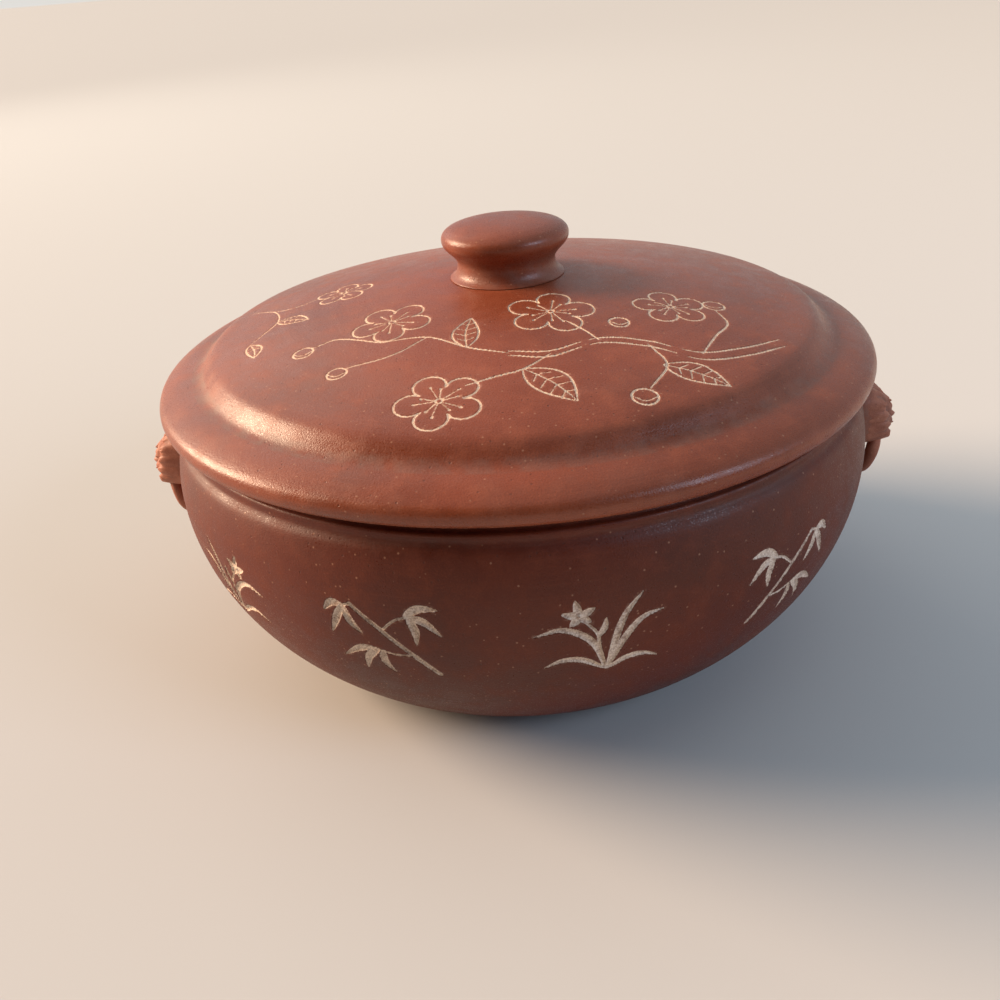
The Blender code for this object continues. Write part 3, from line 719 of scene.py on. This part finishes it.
def mound(y, z, centre, spread, power):
    """A soft mound, mirrored to the other side of the face: a bell of the distance over its spread."""
    across = (np.abs(y) - centre[0]) / spread[0]
    up = (z - centre[1]) / spread[1]
    return np.exp(-0.5 * np.hypot(across, up) ** power)


def ridge(flat, lines, width, height):
    """Raised cords of clay along lines: half a cosine across their width."""
    gap = stroke_distance(flat, [stroke(line, 0.02, 1) for line in lines])
    return height * (1 + np.cos(np.pi * np.clip(gap / (width * MM), 0, 1))) / 2


# The mane's curls from the top to the chin: across, up, size, where a curl starts, and its turns
CURLS = ((2.3, 9.3, 1.75, 200, 1.5), (6.1, 8.7, 1.95, 240, 1.5), (10.0, 8.0, 2.0, 250, 1.5),
         (13.2, 5.2, 1.95, 300, 1.5), (14.4, 1.2, 1.8, 330, 1.4), (14.0, -2.9, 1.8, 0, 1.4),
         (12.4, -6.6, 1.75, 20, 1.4), (9.2, -9.0, 1.6, 40, 1.4))
# The face's swells and hollows: height, place, spread and how blunt each is
SWELLS = ((2.7, (0, -3.0), (3.3, 2.5), 3),          # nose
          (1.7, (2.9, -4.0), (1.25, 1.15), 3),      # its wings
          (-1.2, (2.6, -4.9), (0.6, 0.45), 2),      # nostrils
          (1.3, (0, 1.5), (1.3, 3.2), 3),           # bridge
          (-1.5, (6.2, 1.0), (2.7, 2.1), 3),        # sockets
          (2.7, (6.2, 1.0), (1.35, 1.3), 4),        # eyes
          (-0.6, (6.2, 1.0), (0.4, 0.4), 2),        # pupils
          (1.4, (0, 5.9), (1.5, 1.4), 4),           # boss on the forehead
          (1.5, (9.4, -3.0), (2.0, 1.8), 2))        # cheeks
# Its raised and sunk lines: height, half width and knots
LINES = ((1.9, 1.25, ((1.4, 1.0), (2.8, 3.6), (6.2, 4.9), (9.6, 3.9), (11.2, 1.6))),    # brows
         (0.7, 0.6, ((3.4, 0.2), (6.2, -1.2), (9.0, 0.2))),                             # lower lids
         (0.9, 0.75, ((0, -5.75), (3.2, -6.05), (6.4, -5.45), (8.6, -4.05))),           # upper lip
         (-1.9, 0.65, ((0, -6.7), (3.2, -7.0), (6.4, -6.4), (8.6, -5.0))),              # mouth
         (1.3, 0.55, ((4.6, -6.2), (4.5, -8.0))),                                       # fangs
         (0.8, 0.8, ((1.2, -9.4), (4.0, -9.6), (6.6, -8.8))))                           # chin


def face_relief(y, z):
    """How far the face stands off the belly, for y across and z up from its middle, in millimetres.

    A rounded block carries everything else. It slopes out from the forehead to the muzzle by a
    quarter of a sine wave, and draws back a little under it by a square. Curls of mane stand round
    its edge, which falls away by a quarter circle.
    """
    u, v = y / (MASK_HALF_WIDTH / MM), z / (MASK_HALF_HEIGHT / MM)
    reach = (np.abs(u) ** MASK_SQUARENESS + np.abs(v) ** MASK_SQUARENESS) ** (1 / MASK_SQUARENESS)
    slope = np.sin(np.pi / 2 * np.clip((1 - v) / 1.15, 0, 1)) - 0.15 * np.clip((-0.15 - v) / 0.85, 0, 1) ** 2
    edge_stand, curl_stand, rim_width, sunk = 2.0, 2.2, 0.13, 0.15
    block = edge_stand + (MASK_STAND / MM - edge_stand) * slope * np.clip(1 - u ** 4, 0, 1) ** 0.7
    flat = np.stack([np.abs(y), z], 1) * MM
    curls = [spiral((x, up), size, 0.25, start, -turns, 40) for x, up, size, start, turns in CURLS]
    relief = block + ridge(flat, curls, 0.8, 0.35)
    for x, up, size, _, _ in CURLS:
        relief = relief + curl_stand * mound(y, z, (x, up), (size * 0.74, size * 0.74), 2.4)
    for height, centre, spread, blunt in SWELLS:
        relief = relief + height * mound(y, z, centre, spread, blunt)
    for height, width, knots in LINES:
        relief = relief + ridge(flat, [curve(knots)], width, height)
    rim = np.clip((1 - reach) / rim_width, 0, 1)
    return relief * np.sqrt(rim * (2 - rim)) - sunk


def cavity(height):
    """How far each place of a relief stands above the mean round it, over a quarter millimetre.

    The mean of the four places beside it is taken twelve times over.
    """
    mean = height
    for _ in range(12):
        padded = np.pad(mean, 1, mode="edge")
        mean = (padded[:-2, 1:-1] + padded[2:, 1:-1] + padded[1:-1, :-2] + padded[1:-1, 2:]) / 4
    return np.clip((height - mean) / (0.25 * MM), -1, 1)


def lug(name, side):
    """A face over a rounded square, closed at the back where it sits on the belly.

    A square grid is drawn out to a superellipse: each place keeps its direction, and its distance
    is scaled so that the square's edge lands on the superellipse. The front stands on the belly's
    curve by the relief. The back lies just inside it, and both share their edge.
    """
    across, up = 190, 134       # places over the grid's width and height
    a, b = np.meshgrid(np.linspace(-1, 1, across), np.linspace(-1, 1, up), indexing="ij")
    reach = np.maximum(np.abs(a), np.abs(b))
    spread = (np.abs(a) ** MASK_SQUARENESS + np.abs(b) ** MASK_SQUARENESS) ** (1 / MASK_SQUARENESS)
    scale = np.divide(reach, spread, out=np.ones_like(a), where=spread > 0)
    y, z = a * scale * MASK_HALF_WIDTH, b * scale * MASK_HALF_HEIGHT
    relief = face_relief(y.ravel() / MM, z.ravel() / MM).reshape(y.shape) * MM
    pressed = 0.08 * MM * np.sin(1900 * y + side) * np.sin(2300 * z + 2 * side)
    relief = relief + pressed * (reach < 0.97)
    seat = belly_depth(y, MASK_LEVEL + z)
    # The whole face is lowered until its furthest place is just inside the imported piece's reach
    high = relief > MM
    relief = relief * min(1, ((LUG_REACH - 0.03 * MM - seat)[high] / relief[high]).min())
    number = np.arange(y.size).reshape(y.shape)
    inner = (slice(1, -1), slice(1, -1))
    front = np.stack([seat + relief, y, MASK_LEVEL + z], 2).reshape(-1, 3)
    back = np.stack([seat - MASK_EMBEDDED, y, MASK_LEVEL + z], 2)[inner].reshape(-1, 3)
    behind = number.copy()
    behind[inner] = y.size + np.arange(len(back)).reshape(across - 2, up - 2)
    faces = [quads(number), quads(behind)[:, ::-1]]
    bend = np.concatenate([cavity(relief).ravel(), np.zeros(len(back))])
    return build(name, np.concatenate([front, back]) * (side, side, 1), faces, {"bend": bend})


def ring(name, side):
    """A bar bent round into an open ring, its two ends buried in the jaw.

    The bar's middle runs on a circle that hangs from the mask and leans in at the bottom. Its
    section is a circle whose radius swells and thins a little along the way. It hangs as close to
    the belly as its clearance lets it at the tightest place.
    """
    rise = math.asin(LOOP_DROP / math.cos(LOOP_LEAN) / LOOP_RADIUS)
    half_sweep = math.pi / 2 + rise + SOCKET_DEPTH / LOOP_RADIUS
    level = MASK_LEVEL - MASK_HALF_HEIGHT - LOOP_DROP
    angle = np.linspace(-np.pi / 2, np.pi / 2, 19)
    down, beside = LOOP_RADIUS * np.cos(angle), LOOP_RADIUS * np.sin(angle)
    z = level - down * math.cos(LOOP_LEAN)
    beyond = LOOP_BAR / 5
    tilt = np.arctan((belly_radius(z + beyond) - belly_radius(z - beyond)) / (2 * beyond))
    needed = belly_depth(beside, z) + (LOOP_BAR + LOOP_CLEARANCE) / np.cos(tilt) + down * math.sin(LOOP_LEAN)
    along, sides = 120, 36
    s = np.linspace(-half_sweep, half_sweep, along)[:, None]
    t = (2 * np.pi * np.arange(sides) / sides)[None]
    bar = LOOP_BAR * (1 - 0.035 * (1 + np.sin(5 * s + side)) - 0.02 * (1 + np.sin(2 * t + 3 * s)))
    radius = LOOP_RADIUS + bar * np.cos(t)
    x, y, z = bar * np.sin(t), radius * np.sin(s), -radius * np.cos(s)
    cos, sin = math.cos(LOOP_LEAN), math.sin(LOOP_LEAN)
    corners = np.stack([x * cos + z * sin, y, z * cos - x * sin], 2).reshape(-1, 3) + (needed.max(), 0, level)
    number = np.arange(along * sides).reshape(along, sides)
    faces = [quads(np.hstack([number, number[:, :1]])), number[:1], number[-1:, ::-1]]
    return build(name, corners * (side, side, 1), faces, {"bend": np.zeros(len(corners))})


# Materials

def colour(code):
    """An sRGB hex colour as linear light."""
    value = np.array([int(code[k:k + 2], 16) / 255 for k in (1, 3, 5)])
    linear = np.where(value <= 0.04045, value / 12.92, ((value + 0.055) / 1.055) ** 2.4)
    return (*linear, 1.0)


def add(tree, kind, inputs=None, output=0, **settings):
    """Add a node with its settings, fill or link its inputs, and give one of its outputs."""
    made = tree.nodes.new("ShaderNode" + kind)
    for name, value in settings.items():
        setattr(made, name, value)
    for name, value in (inputs or {}).items():
        if isinstance(value, bpy.types.NodeSocket):
            tree.links.new(value, made.inputs[name])
        else:
            made.inputs[name].default_value = value
    return made.outputs[output] if len(made.outputs) else None


def work_out(tree, made, steps):
    """Add steps in order to the named results.

    A step is a word, an operation in capitals and its terms, or a word, a term, the range that it
    is read from and the range that it is eased to. A term is an earlier word or a number.
    """
    for word, *step in steps:
        if step[0].isupper():
            kind, settings, terms = "Math", {"operation": step[0]}, step[1:]
        else:
            kind, settings, terms = "MapRange", {"interpolation_type": "SMOOTHSTEP"}, step
        made[word] = add(tree, kind, {k: made.get(term, term) for k, term in enumerate(terms)}, **settings)


CLAY_IOR = 1.42
# The dust's tint also makes the pale film on the lid's left, which is partly dust and partly painted light
DARK_SAND, PALE_SAND, DUST_AND_LIT_FILM_TINT = "#44241c", "#cc9b7c", "#7c6a60"
SAND_SPACING = 1.7          # in millimetres, as every length in a clay's tables


def fired_clay(name, body, dark, pale, roughness, grain_depth, turning_depth, dusty, evenly=0.99, left_dust_and_light_film=0.0,
               carved=None):
    """Fine red-brown clay, fired without a glaze.

    Cloudy shades at 55 and 8 mm, grains at 0.5 mm (finer in the real clay, and drawn this coarse so
    that they show), and sparse sand. Turning lines follow the radius and height. Dusty is how full
    of dust a hollow is, and evenly what share of that stays on the pot's right. The argument after
    evenly lays a pale film of the dust's tint on the left. On the left both the fuller dust and the
    film are partly dust and partly painted light, making the side that the key lamp strikes paler.
    Edges are rubbed. Carved gives the two chalks of the cut floors, the share that they cover, and
    how deep the chisel's pecks are.
    """
    material = bpy.data.materials.new(name)
    material.use_nodes = True
    tree = material.node_tree
    tree.nodes.clear()
    place = add(tree, "TexCoord", output="Object")
    x, y, z = add(tree, "SeparateXYZ", {0: place}).node.outputs
    radius = add(tree, "VectorMath", {0: add(tree, "CombineXYZ", {0: x, 1: y})}, "Value", operation="LENGTH")
    wander = add(tree, "VectorMath", {0: place, "Scale": 0.012}, operation="SCALE")
    section = add(tree, "CombineXYZ", {0: radius, 1: z})
    section = add(tree, "VectorMath", {0: section, 1: wander}, operation="ADD")
    sand = add(tree, "TexVoronoi", {"Vector": place, "Scale": 1 / (SAND_SPACING * MM)})
    sort = add(tree, "SeparateColor", {0: sand.node.outputs["Color"]}).node.outputs
    made = {"sand": sand, "sort": sort[0], "tone": sort[1], "x": x,
            "bend": add(tree, "Attribute", output="Fac", attribute_name="bend"),
            "carving": add(tree, "Attribute", output="Fac", attribute_name="carving")}
    # Noises: size in millimetres, detail, roughness, and where each is read
    for word, size, detail, broken, at in (
            ("cloud", 55, 3, 0.5, place), ("veil", 30, 4, 0.6, place), ("patch", 24, 2, 0.5, place),
            ("mottle", 8, 4, 0.6, place), ("settle", 6, 4, 0.65, place), ("rub", 5, 3, 0.5, place),
            ("chalk", 2.2, 3, 0.6, place), ("scrape", 1.4, 4, 0.7, place), ("turning", 1.1, 3, 0.6, section),
            ("fray", 0.8, 3, 0.5, place), ("peck", 0.55, 2, 0.6, place), ("grain", 0.5, 2, 0.6, place),
            ("gleam", 0.42, 1, 0.5, place)):
        made[word] = add(tree, "TexNoise", {"Vector": at, "Scale": 1 / (size * MM), "Detail": detail,
                                            "Roughness": broken})
    work_out(tree, made, (
        # Shades, turning lines and grain
        ("cloudy", "cloud", 0.30, 0.70, 0, 1),
        ("mottled", "mottle", 0.42, 0.78, 0, 0.45),
        ("patchy", "patch", 0.38, 0.66, 0, 1),
        ("lines", "turning", 0.45, 0.80, 0, 0.22),
        ("lines", "MULTIPLY", "lines", "patchy"),
        ("dark grain", "grain", 0.50, 0.32, 0, 0.30),
        ("pale grain", "grain", 0.56, 0.72, 0, 0.30),
        # Sand
        ("spot", "sand", 0.24, 0.10, 0, 1),
        ("few", "sort", 0.62, 0.70, 0, 1),
        ("pale half", "tone", 0.45, 0.55, 0, 1),
        ("speck", "MULTIPLY", "spot", "few"),
        ("pale speck", "MULTIPLY", "speck", "pale half"),
        ("dark speck", "SUBTRACT", "speck", "pale speck"),
        ("pale sand", "MULTIPLY", "pale speck", 0.35),
        ("dark sand", "MULTIPLY", "dark speck", 0.45),
        # Dust in hollows and veils, fuller on the left, and a pale film on the left: on the left both are
        # partly dust and partly painted light, paler where the key lamp strikes
        ("hollow", "bend", -0.015, -0.10, 0, 1),
        ("settled", "settle", 0.34, 0.62, 0, 1),
        ("dust", "MULTIPLY", "hollow", "settled"),
        ("veiled", "veil", 0.50, 0.72, 0, 0.45),
        ("dust", "MAXIMUM", "dust", "veiled"),
        # More dust on the left and a pale film there: partly dust, partly painted light on the lamp-lit left
        # side
        ("left", "x", -0.01, -0.08, evenly, 1),
        ("dust", "MULTIPLY", "dust", "left"),
        ("film", "left", evenly, 1, 0, left_dust_and_light_film),
        ("dust", "MAXIMUM", "dust", "film"),
        ("broken", "grain", 0.25, 0.70, 0.6 * dusty, dusty),
        ("dust", "MULTIPLY", "dust", "broken"),
        # Rubbed edges
        ("edge", "bend", 0.10, 0.45, 0, 1),
        ("rubbed", "rub", 0.35, 0.65, 0, 0.35),
        ("worn", "MULTIPLY", "edge", "rubbed"),
        # Gloss: grains gleam, dust is dull, and rubbed edges shine
        ("rough", "mottle", 0.3, 0.7, roughness - 0.05, roughness + 0.07),
        ("gleams", "gleam", 0.58, 0.68, 0, 0.24),
        ("rough", "SUBTRACT", "rough", "gleams"),
        ("rough", "MULTIPLY_ADD", "dust", 0.25, "rough"),
        ("rough", "MULTIPLY_ADD", "worn", -0.17, "rough"),
        # Height
        ("height", "MULTIPLY", "grain", grain_depth),
        ("ridges", "MULTIPLY", "turning", "patchy"),
        ("height", "MULTIPLY_ADD", "ridges", turning_depth, "height"),
        ("height", "MULTIPLY_ADD", "mottle", 0.10, "height"),
        ("height", "MULTIPLY_ADD", "dark speck", -0.05, "height")))
    layers = [("mottled", pale), ("lines", pale), ("dark grain", dark), ("pale grain", pale),
              ("dark sand", DARK_SAND), ("pale sand", PALE_SAND), ("worn", pale), ("dust", DUST_AND_LIT_FILM_TINT)]
    if carved:
        # A chisel leaves a broken pale floor: stippled, scraped to bare clay in places, frayed at the edge
        floor_pale, floor_dark, cover, peck_depth = carved
        work_out(tree, made, (
            ("fray", "SUBTRACT", "fray", 0.5),
            ("fray", "MULTIPLY_ADD", "fray", 0.28, "carving"),
            ("inside", "fray", 0.06, -0.04, 0, 1),
            ("covered", "chalk", 0.28, 0.55, cover, 1),
            ("floor", "MULTIPLY", "inside", "covered"),
            ("pecked", "peck", 0.62, 0.40, 0, 0.55),
            ("near", "carving", 1, 0, 0, 1),
            ("smear", "scrape", 0.46, 0.74, 0, 0.5),
            ("smear", "MULTIPLY", "near", "smear"),
            ("rough", "MULTIPLY_ADD", "inside", 0.35, "rough"),
            ("pecks", "MULTIPLY", "peck", "inside"),
            ("height", "MULTIPLY_ADD", "pecks", peck_depth, "height")))
        made["chalky"] = add(tree, "Mix", {0: made["pecked"], 6: colour(floor_pale), 7: colour(floor_dark)},
                             2, data_type="RGBA")
        layers += [("smear", floor_dark), ("floor", "chalky")]
    shade = colour(dark)
    for share, tint in [("cloudy", body), *layers]:
        tint = made[tint] if tint in made else colour(tint)
        shade = add(tree, "Mix", {0: made[share], 6: shade, 7: tint}, 2, data_type="RGBA")
    bump = add(tree, "Bump", {"Height": made["height"], "Distance": MM, "Strength": 1.0})
    shader = add(tree, "BsdfPrincipled", {"Base Color": shade, "Roughness": made["rough"], "IOR": CLAY_IOR,
                                          "Normal": bump})
    add(tree, "OutputMaterial", {0: shader})
    return material


# Stoneware rubbed with a smooth pebble when leather-hard: a satin skin that glitters with fine grit
# where light strikes it, and faint turning lines. The bowl was rubbed less than its lid and knob, so
# it is duller. Its colours are painted deeper than the lid's, as painted shade for the bowl, whose
# front lies in shade
burnished = {"roughness": 0.35, "grain_depth": 0.075, "turning_depth": 0.04}
# Painted shade: the bowl's body, dark and pale colours are deeper than the lid's to stand in for shade
BELLY_CLAY_PAINTED_SHADE = fired_clay("burnished_clay_carved_belly_painted_shade", "#642611", "#501f0f", "#7a3820", roughness=0.54,
                        grain_depth=0.06, turning_depth=0.05, dusty=0.10,
                        carved=("#ead9c8", "#b1927c", 0.5, 0.16))
# The lid's left is painted paler by its dust and film: partly dust, partly painted light where the key lamp
# strikes
LID_CLAY = fired_clay("burnished_clay_drawn_lid", "#8d462c", "#763923", "#a2583b", **burnished, dusty=0.55,
                      evenly=0.5, left_dust_and_light_film=0.14, carved=("#ead6bc", "#d19f84", 0.8, 0.05))
# Painted shade: the knob's colours are a touch darker than the lid's, standing in for the shade under its cap
KNOB_CLAY = fired_clay("burnished_clay_knob", "#8a452c", "#733823", "#a0563b", **burnished, dusty=0.3)
# The same clay as it left the wheel: dry, open-grained, and ridged by the fingers
BARE_CLAY = fired_clay("bare_thrown_clay", "#99593f", "#7b4533", "#b37558", roughness=0.68,
                       grain_depth=0.08, turning_depth=0.10, dusty=0.35)
# The same clay pressed into a mould: matt, with dust in every hollow
MOULDED_CLAY = fired_clay("press_moulded_clay", "#b26a50", "#874d38", "#cc876b", roughness=0.62,
                          grain_depth=0.10, turning_depth=0.0, dusty=0.45)


def finish_piece(piece, node, body, material):
    """Give a piece its clay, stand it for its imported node, and let it ride on its body."""
    piece.data.materials.append(material)
    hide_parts(node)
    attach(piece, body)


finish_piece(turned("thrown_bowl", bowl_outline(), 250, bowl_hand, carving=belly_carving(), split=(7, 9),
                    edge=0.5 * MM),
             "pot_bowl", "pot", BELLY_CLAY_PAINTED_SHADE)
finish_piece(turned("domed_lid", lid_outline(), 250, lid_hand, False, lid_carving(), (6, 6)),
             "lid_dome", "lid", LID_CLAY)
finish_piece(turned("mushroom_knob", knob_outline(), 180, knob_hand, False, edge=0.12 * MM,
                    coarsest=0.8 * MM),
             "lid_knob", "lid", KNOB_CLAY)
foot = band_outline(FOOT_RADIUS - FOOT_WIDTH, FOOT_RADIUS, TABLE_LEVEL, FOOT_TOP, FOOT_ROUNDING)
finish_piece(turned("turned_foot", foot, 220, knob_hand, coarsest=1.2 * MM),
             "foot_ring", "pot", BARE_CLAY)
locating = band_outline(RING_RADIUS - RING_WIDTH, RING_RADIUS, RING_BOTTOM, RING_TOP, RING_ROUNDING)
finish_piece(turned("lid_ring", locating, 220, knob_hand, coarsest=1.2 * MM),
             "lid_locating_ring", "lid", BARE_CLAY)
finish_piece(turned("cone_chimney", chimney_outline(), 120, finger_hand, coarsest=1.0 * MM),
             "steam_chimney", "pot", BARE_CLAY)
finish_piece(turned("luted_coil", coil_outline(), 260, pressed_hand, coarsest=0.8 * MM),
             "chimney_luting_coil", "pot", BARE_CLAY)
for word, side in (("left", -1), ("right", 1)):
    finish_piece(lug(word + "_beast_lug", side), word + "_handle_mask", "pot", MOULDED_CLAY)
    finish_piece(ring(word + "_lug_ring", side), word + "_handle_ring", "pot", MOULDED_CLAY)


# Stage, light and camera

def plain_stage(name, grid, tint):
    """A plain matt piece of the studio, from a grid of corners."""
    material = bpy.data.materials.new(name)
    material.use_nodes = True
    shader = material.node_tree.nodes["Principled BSDF"]
    shader.inputs["Base Color"].default_value = colour(tint)
    shader.inputs["Roughness"].default_value = 0.9
    number = np.arange(grid.shape[0] * grid.shape[1]).reshape(grid.shape[:2])
    piece = build(name, grid.reshape(-1, 3), [quads(number)])
    piece.data.materials.append(material)
    return piece


def floor():
    """A plain pale floor that runs off to the horizon."""
    horizon = 40
    along = np.linspace(-1, 1, 41) ** 3 * horizon
    grid = np.stack(np.broadcast_arrays(along[:, None], along, 0.0), 2)
    plain_stage("plain_pale_floor", grid, "#c3c5c4")


def flag():
    """A dark shell in front, as a photographer's flag: it keeps pale light off the pot's front."""
    distance = 2.0
    across, up = np.radians(np.linspace(-75, 75, 31))[:, None], np.radians(np.linspace(0, 62, 15))
    x, y, z = np.broadcast_arrays(np.sin(across) * np.cos(up), -np.cos(across) * np.cos(up), np.sin(up))
    grid = distance * np.stack([x, y, z], 2)
    plain_stage("dark_flag_cloth", grid[::-1], "#171514").visible_camera = False


def lamp(name, direction, distance, size, power, tint):
    """A square soft box that looks at the pot's middle."""
    aim = Vector((0, 0, 0.06))
    light = bpy.data.lights.new(name, "AREA")
    light.size = size
    light.energy = power
    light.color = colour(tint)[:3]
    box = bpy.data.objects.new(name, light)
    away = Vector(direction).normalized()
    box.location = aim + away * distance
    box.rotation_mode = "QUATERNION"
    box.rotation_quaternion = (-away).to_track_quat("-Z", "Y")
    bpy.context.scene.collection.objects.link(box)


def studio():
    """A warm low key from the left, a pale window behind it, a cool one on the right, and a cool surround."""
    lamp("cool_window", (0.80, -0.48, 0.50), distance=1.7, size=0.7, power=11.0, tint="#d6e6ff")
    lamp("back_window", (-0.60, 0.64, 0.60), distance=2.2, size=1.6, power=9.5, tint="#fff2e2")
    key = bpy.data.objects.new("key", bpy.data.lights.new("key", "SUN"))
    key.data.energy = 6.7
    key.data.angle = math.radians(30)
    key.data.color = colour("#ffdab8")[:3]
    key.rotation_mode = "QUATERNION"
    key.rotation_quaternion = Vector((0.92, -0.24, -0.41)).to_track_quat("-Z", "Y")
    bpy.context.scene.collection.objects.link(key)
    world = bpy.data.worlds.new("pale_surround")
    bpy.context.scene.world = world
    world.use_nodes = True
    tree = world.node_tree
    tree.nodes.clear()
    light = add(tree, "Background", {"Color": colour("#dde3e8"), "Strength": 0.72})
    pale = add(tree, "Background", {"Color": colour("#e2dfda"), "Strength": 1.0})
    seen = add(tree, "LightPath", output="Is Camera Ray")
    add(tree, "OutputWorld", {0: add(tree, "MixShader", {0: seen, 1: light, 2: pale})})


def camera():
    """The photograph's view: aimed near the pot's axis, then rolled, with the aim seen off-centre."""
    elevation, distance, roll, turn = 0.3591, 0.35304, -0.0717, math.radians(1.2)
    aim, seen, frame_size = Vector((0, 0, 0.092)), (513.47, 359.37), 1000
    lens = bpy.data.cameras.new("camera")
    lens.lens = lens.sensor_width = 36
    lens.clip_start, lens.clip_end = 0.01, 20
    view = bpy.data.objects.new("camera", lens)
    bpy.context.scene.collection.objects.link(view)
    away = Vector((0, -math.cos(elevation), math.sin(elevation)))
    look = (-away).to_track_quat("-Z", "Y")
    ray = Vector((seen[0] / frame_size - 0.5, 0.5 - seen[1] / frame_size, -1))
    aside = Vector((0, 0, -1)).rotation_difference(ray)
    about = Quaternion((0, 0, 1), turn)
    view.rotation_mode = "QUATERNION"
    view.rotation_quaternion = about @ look @ Quaternion((0, 0, 1), roll) @ aside.inverted()
    view.location = aim + about @ away * distance
    bpy.context.scene.camera = view


floor()
flag()
studio()
camera()
bpy.context.scene.view_settings.view_transform = "Standard"
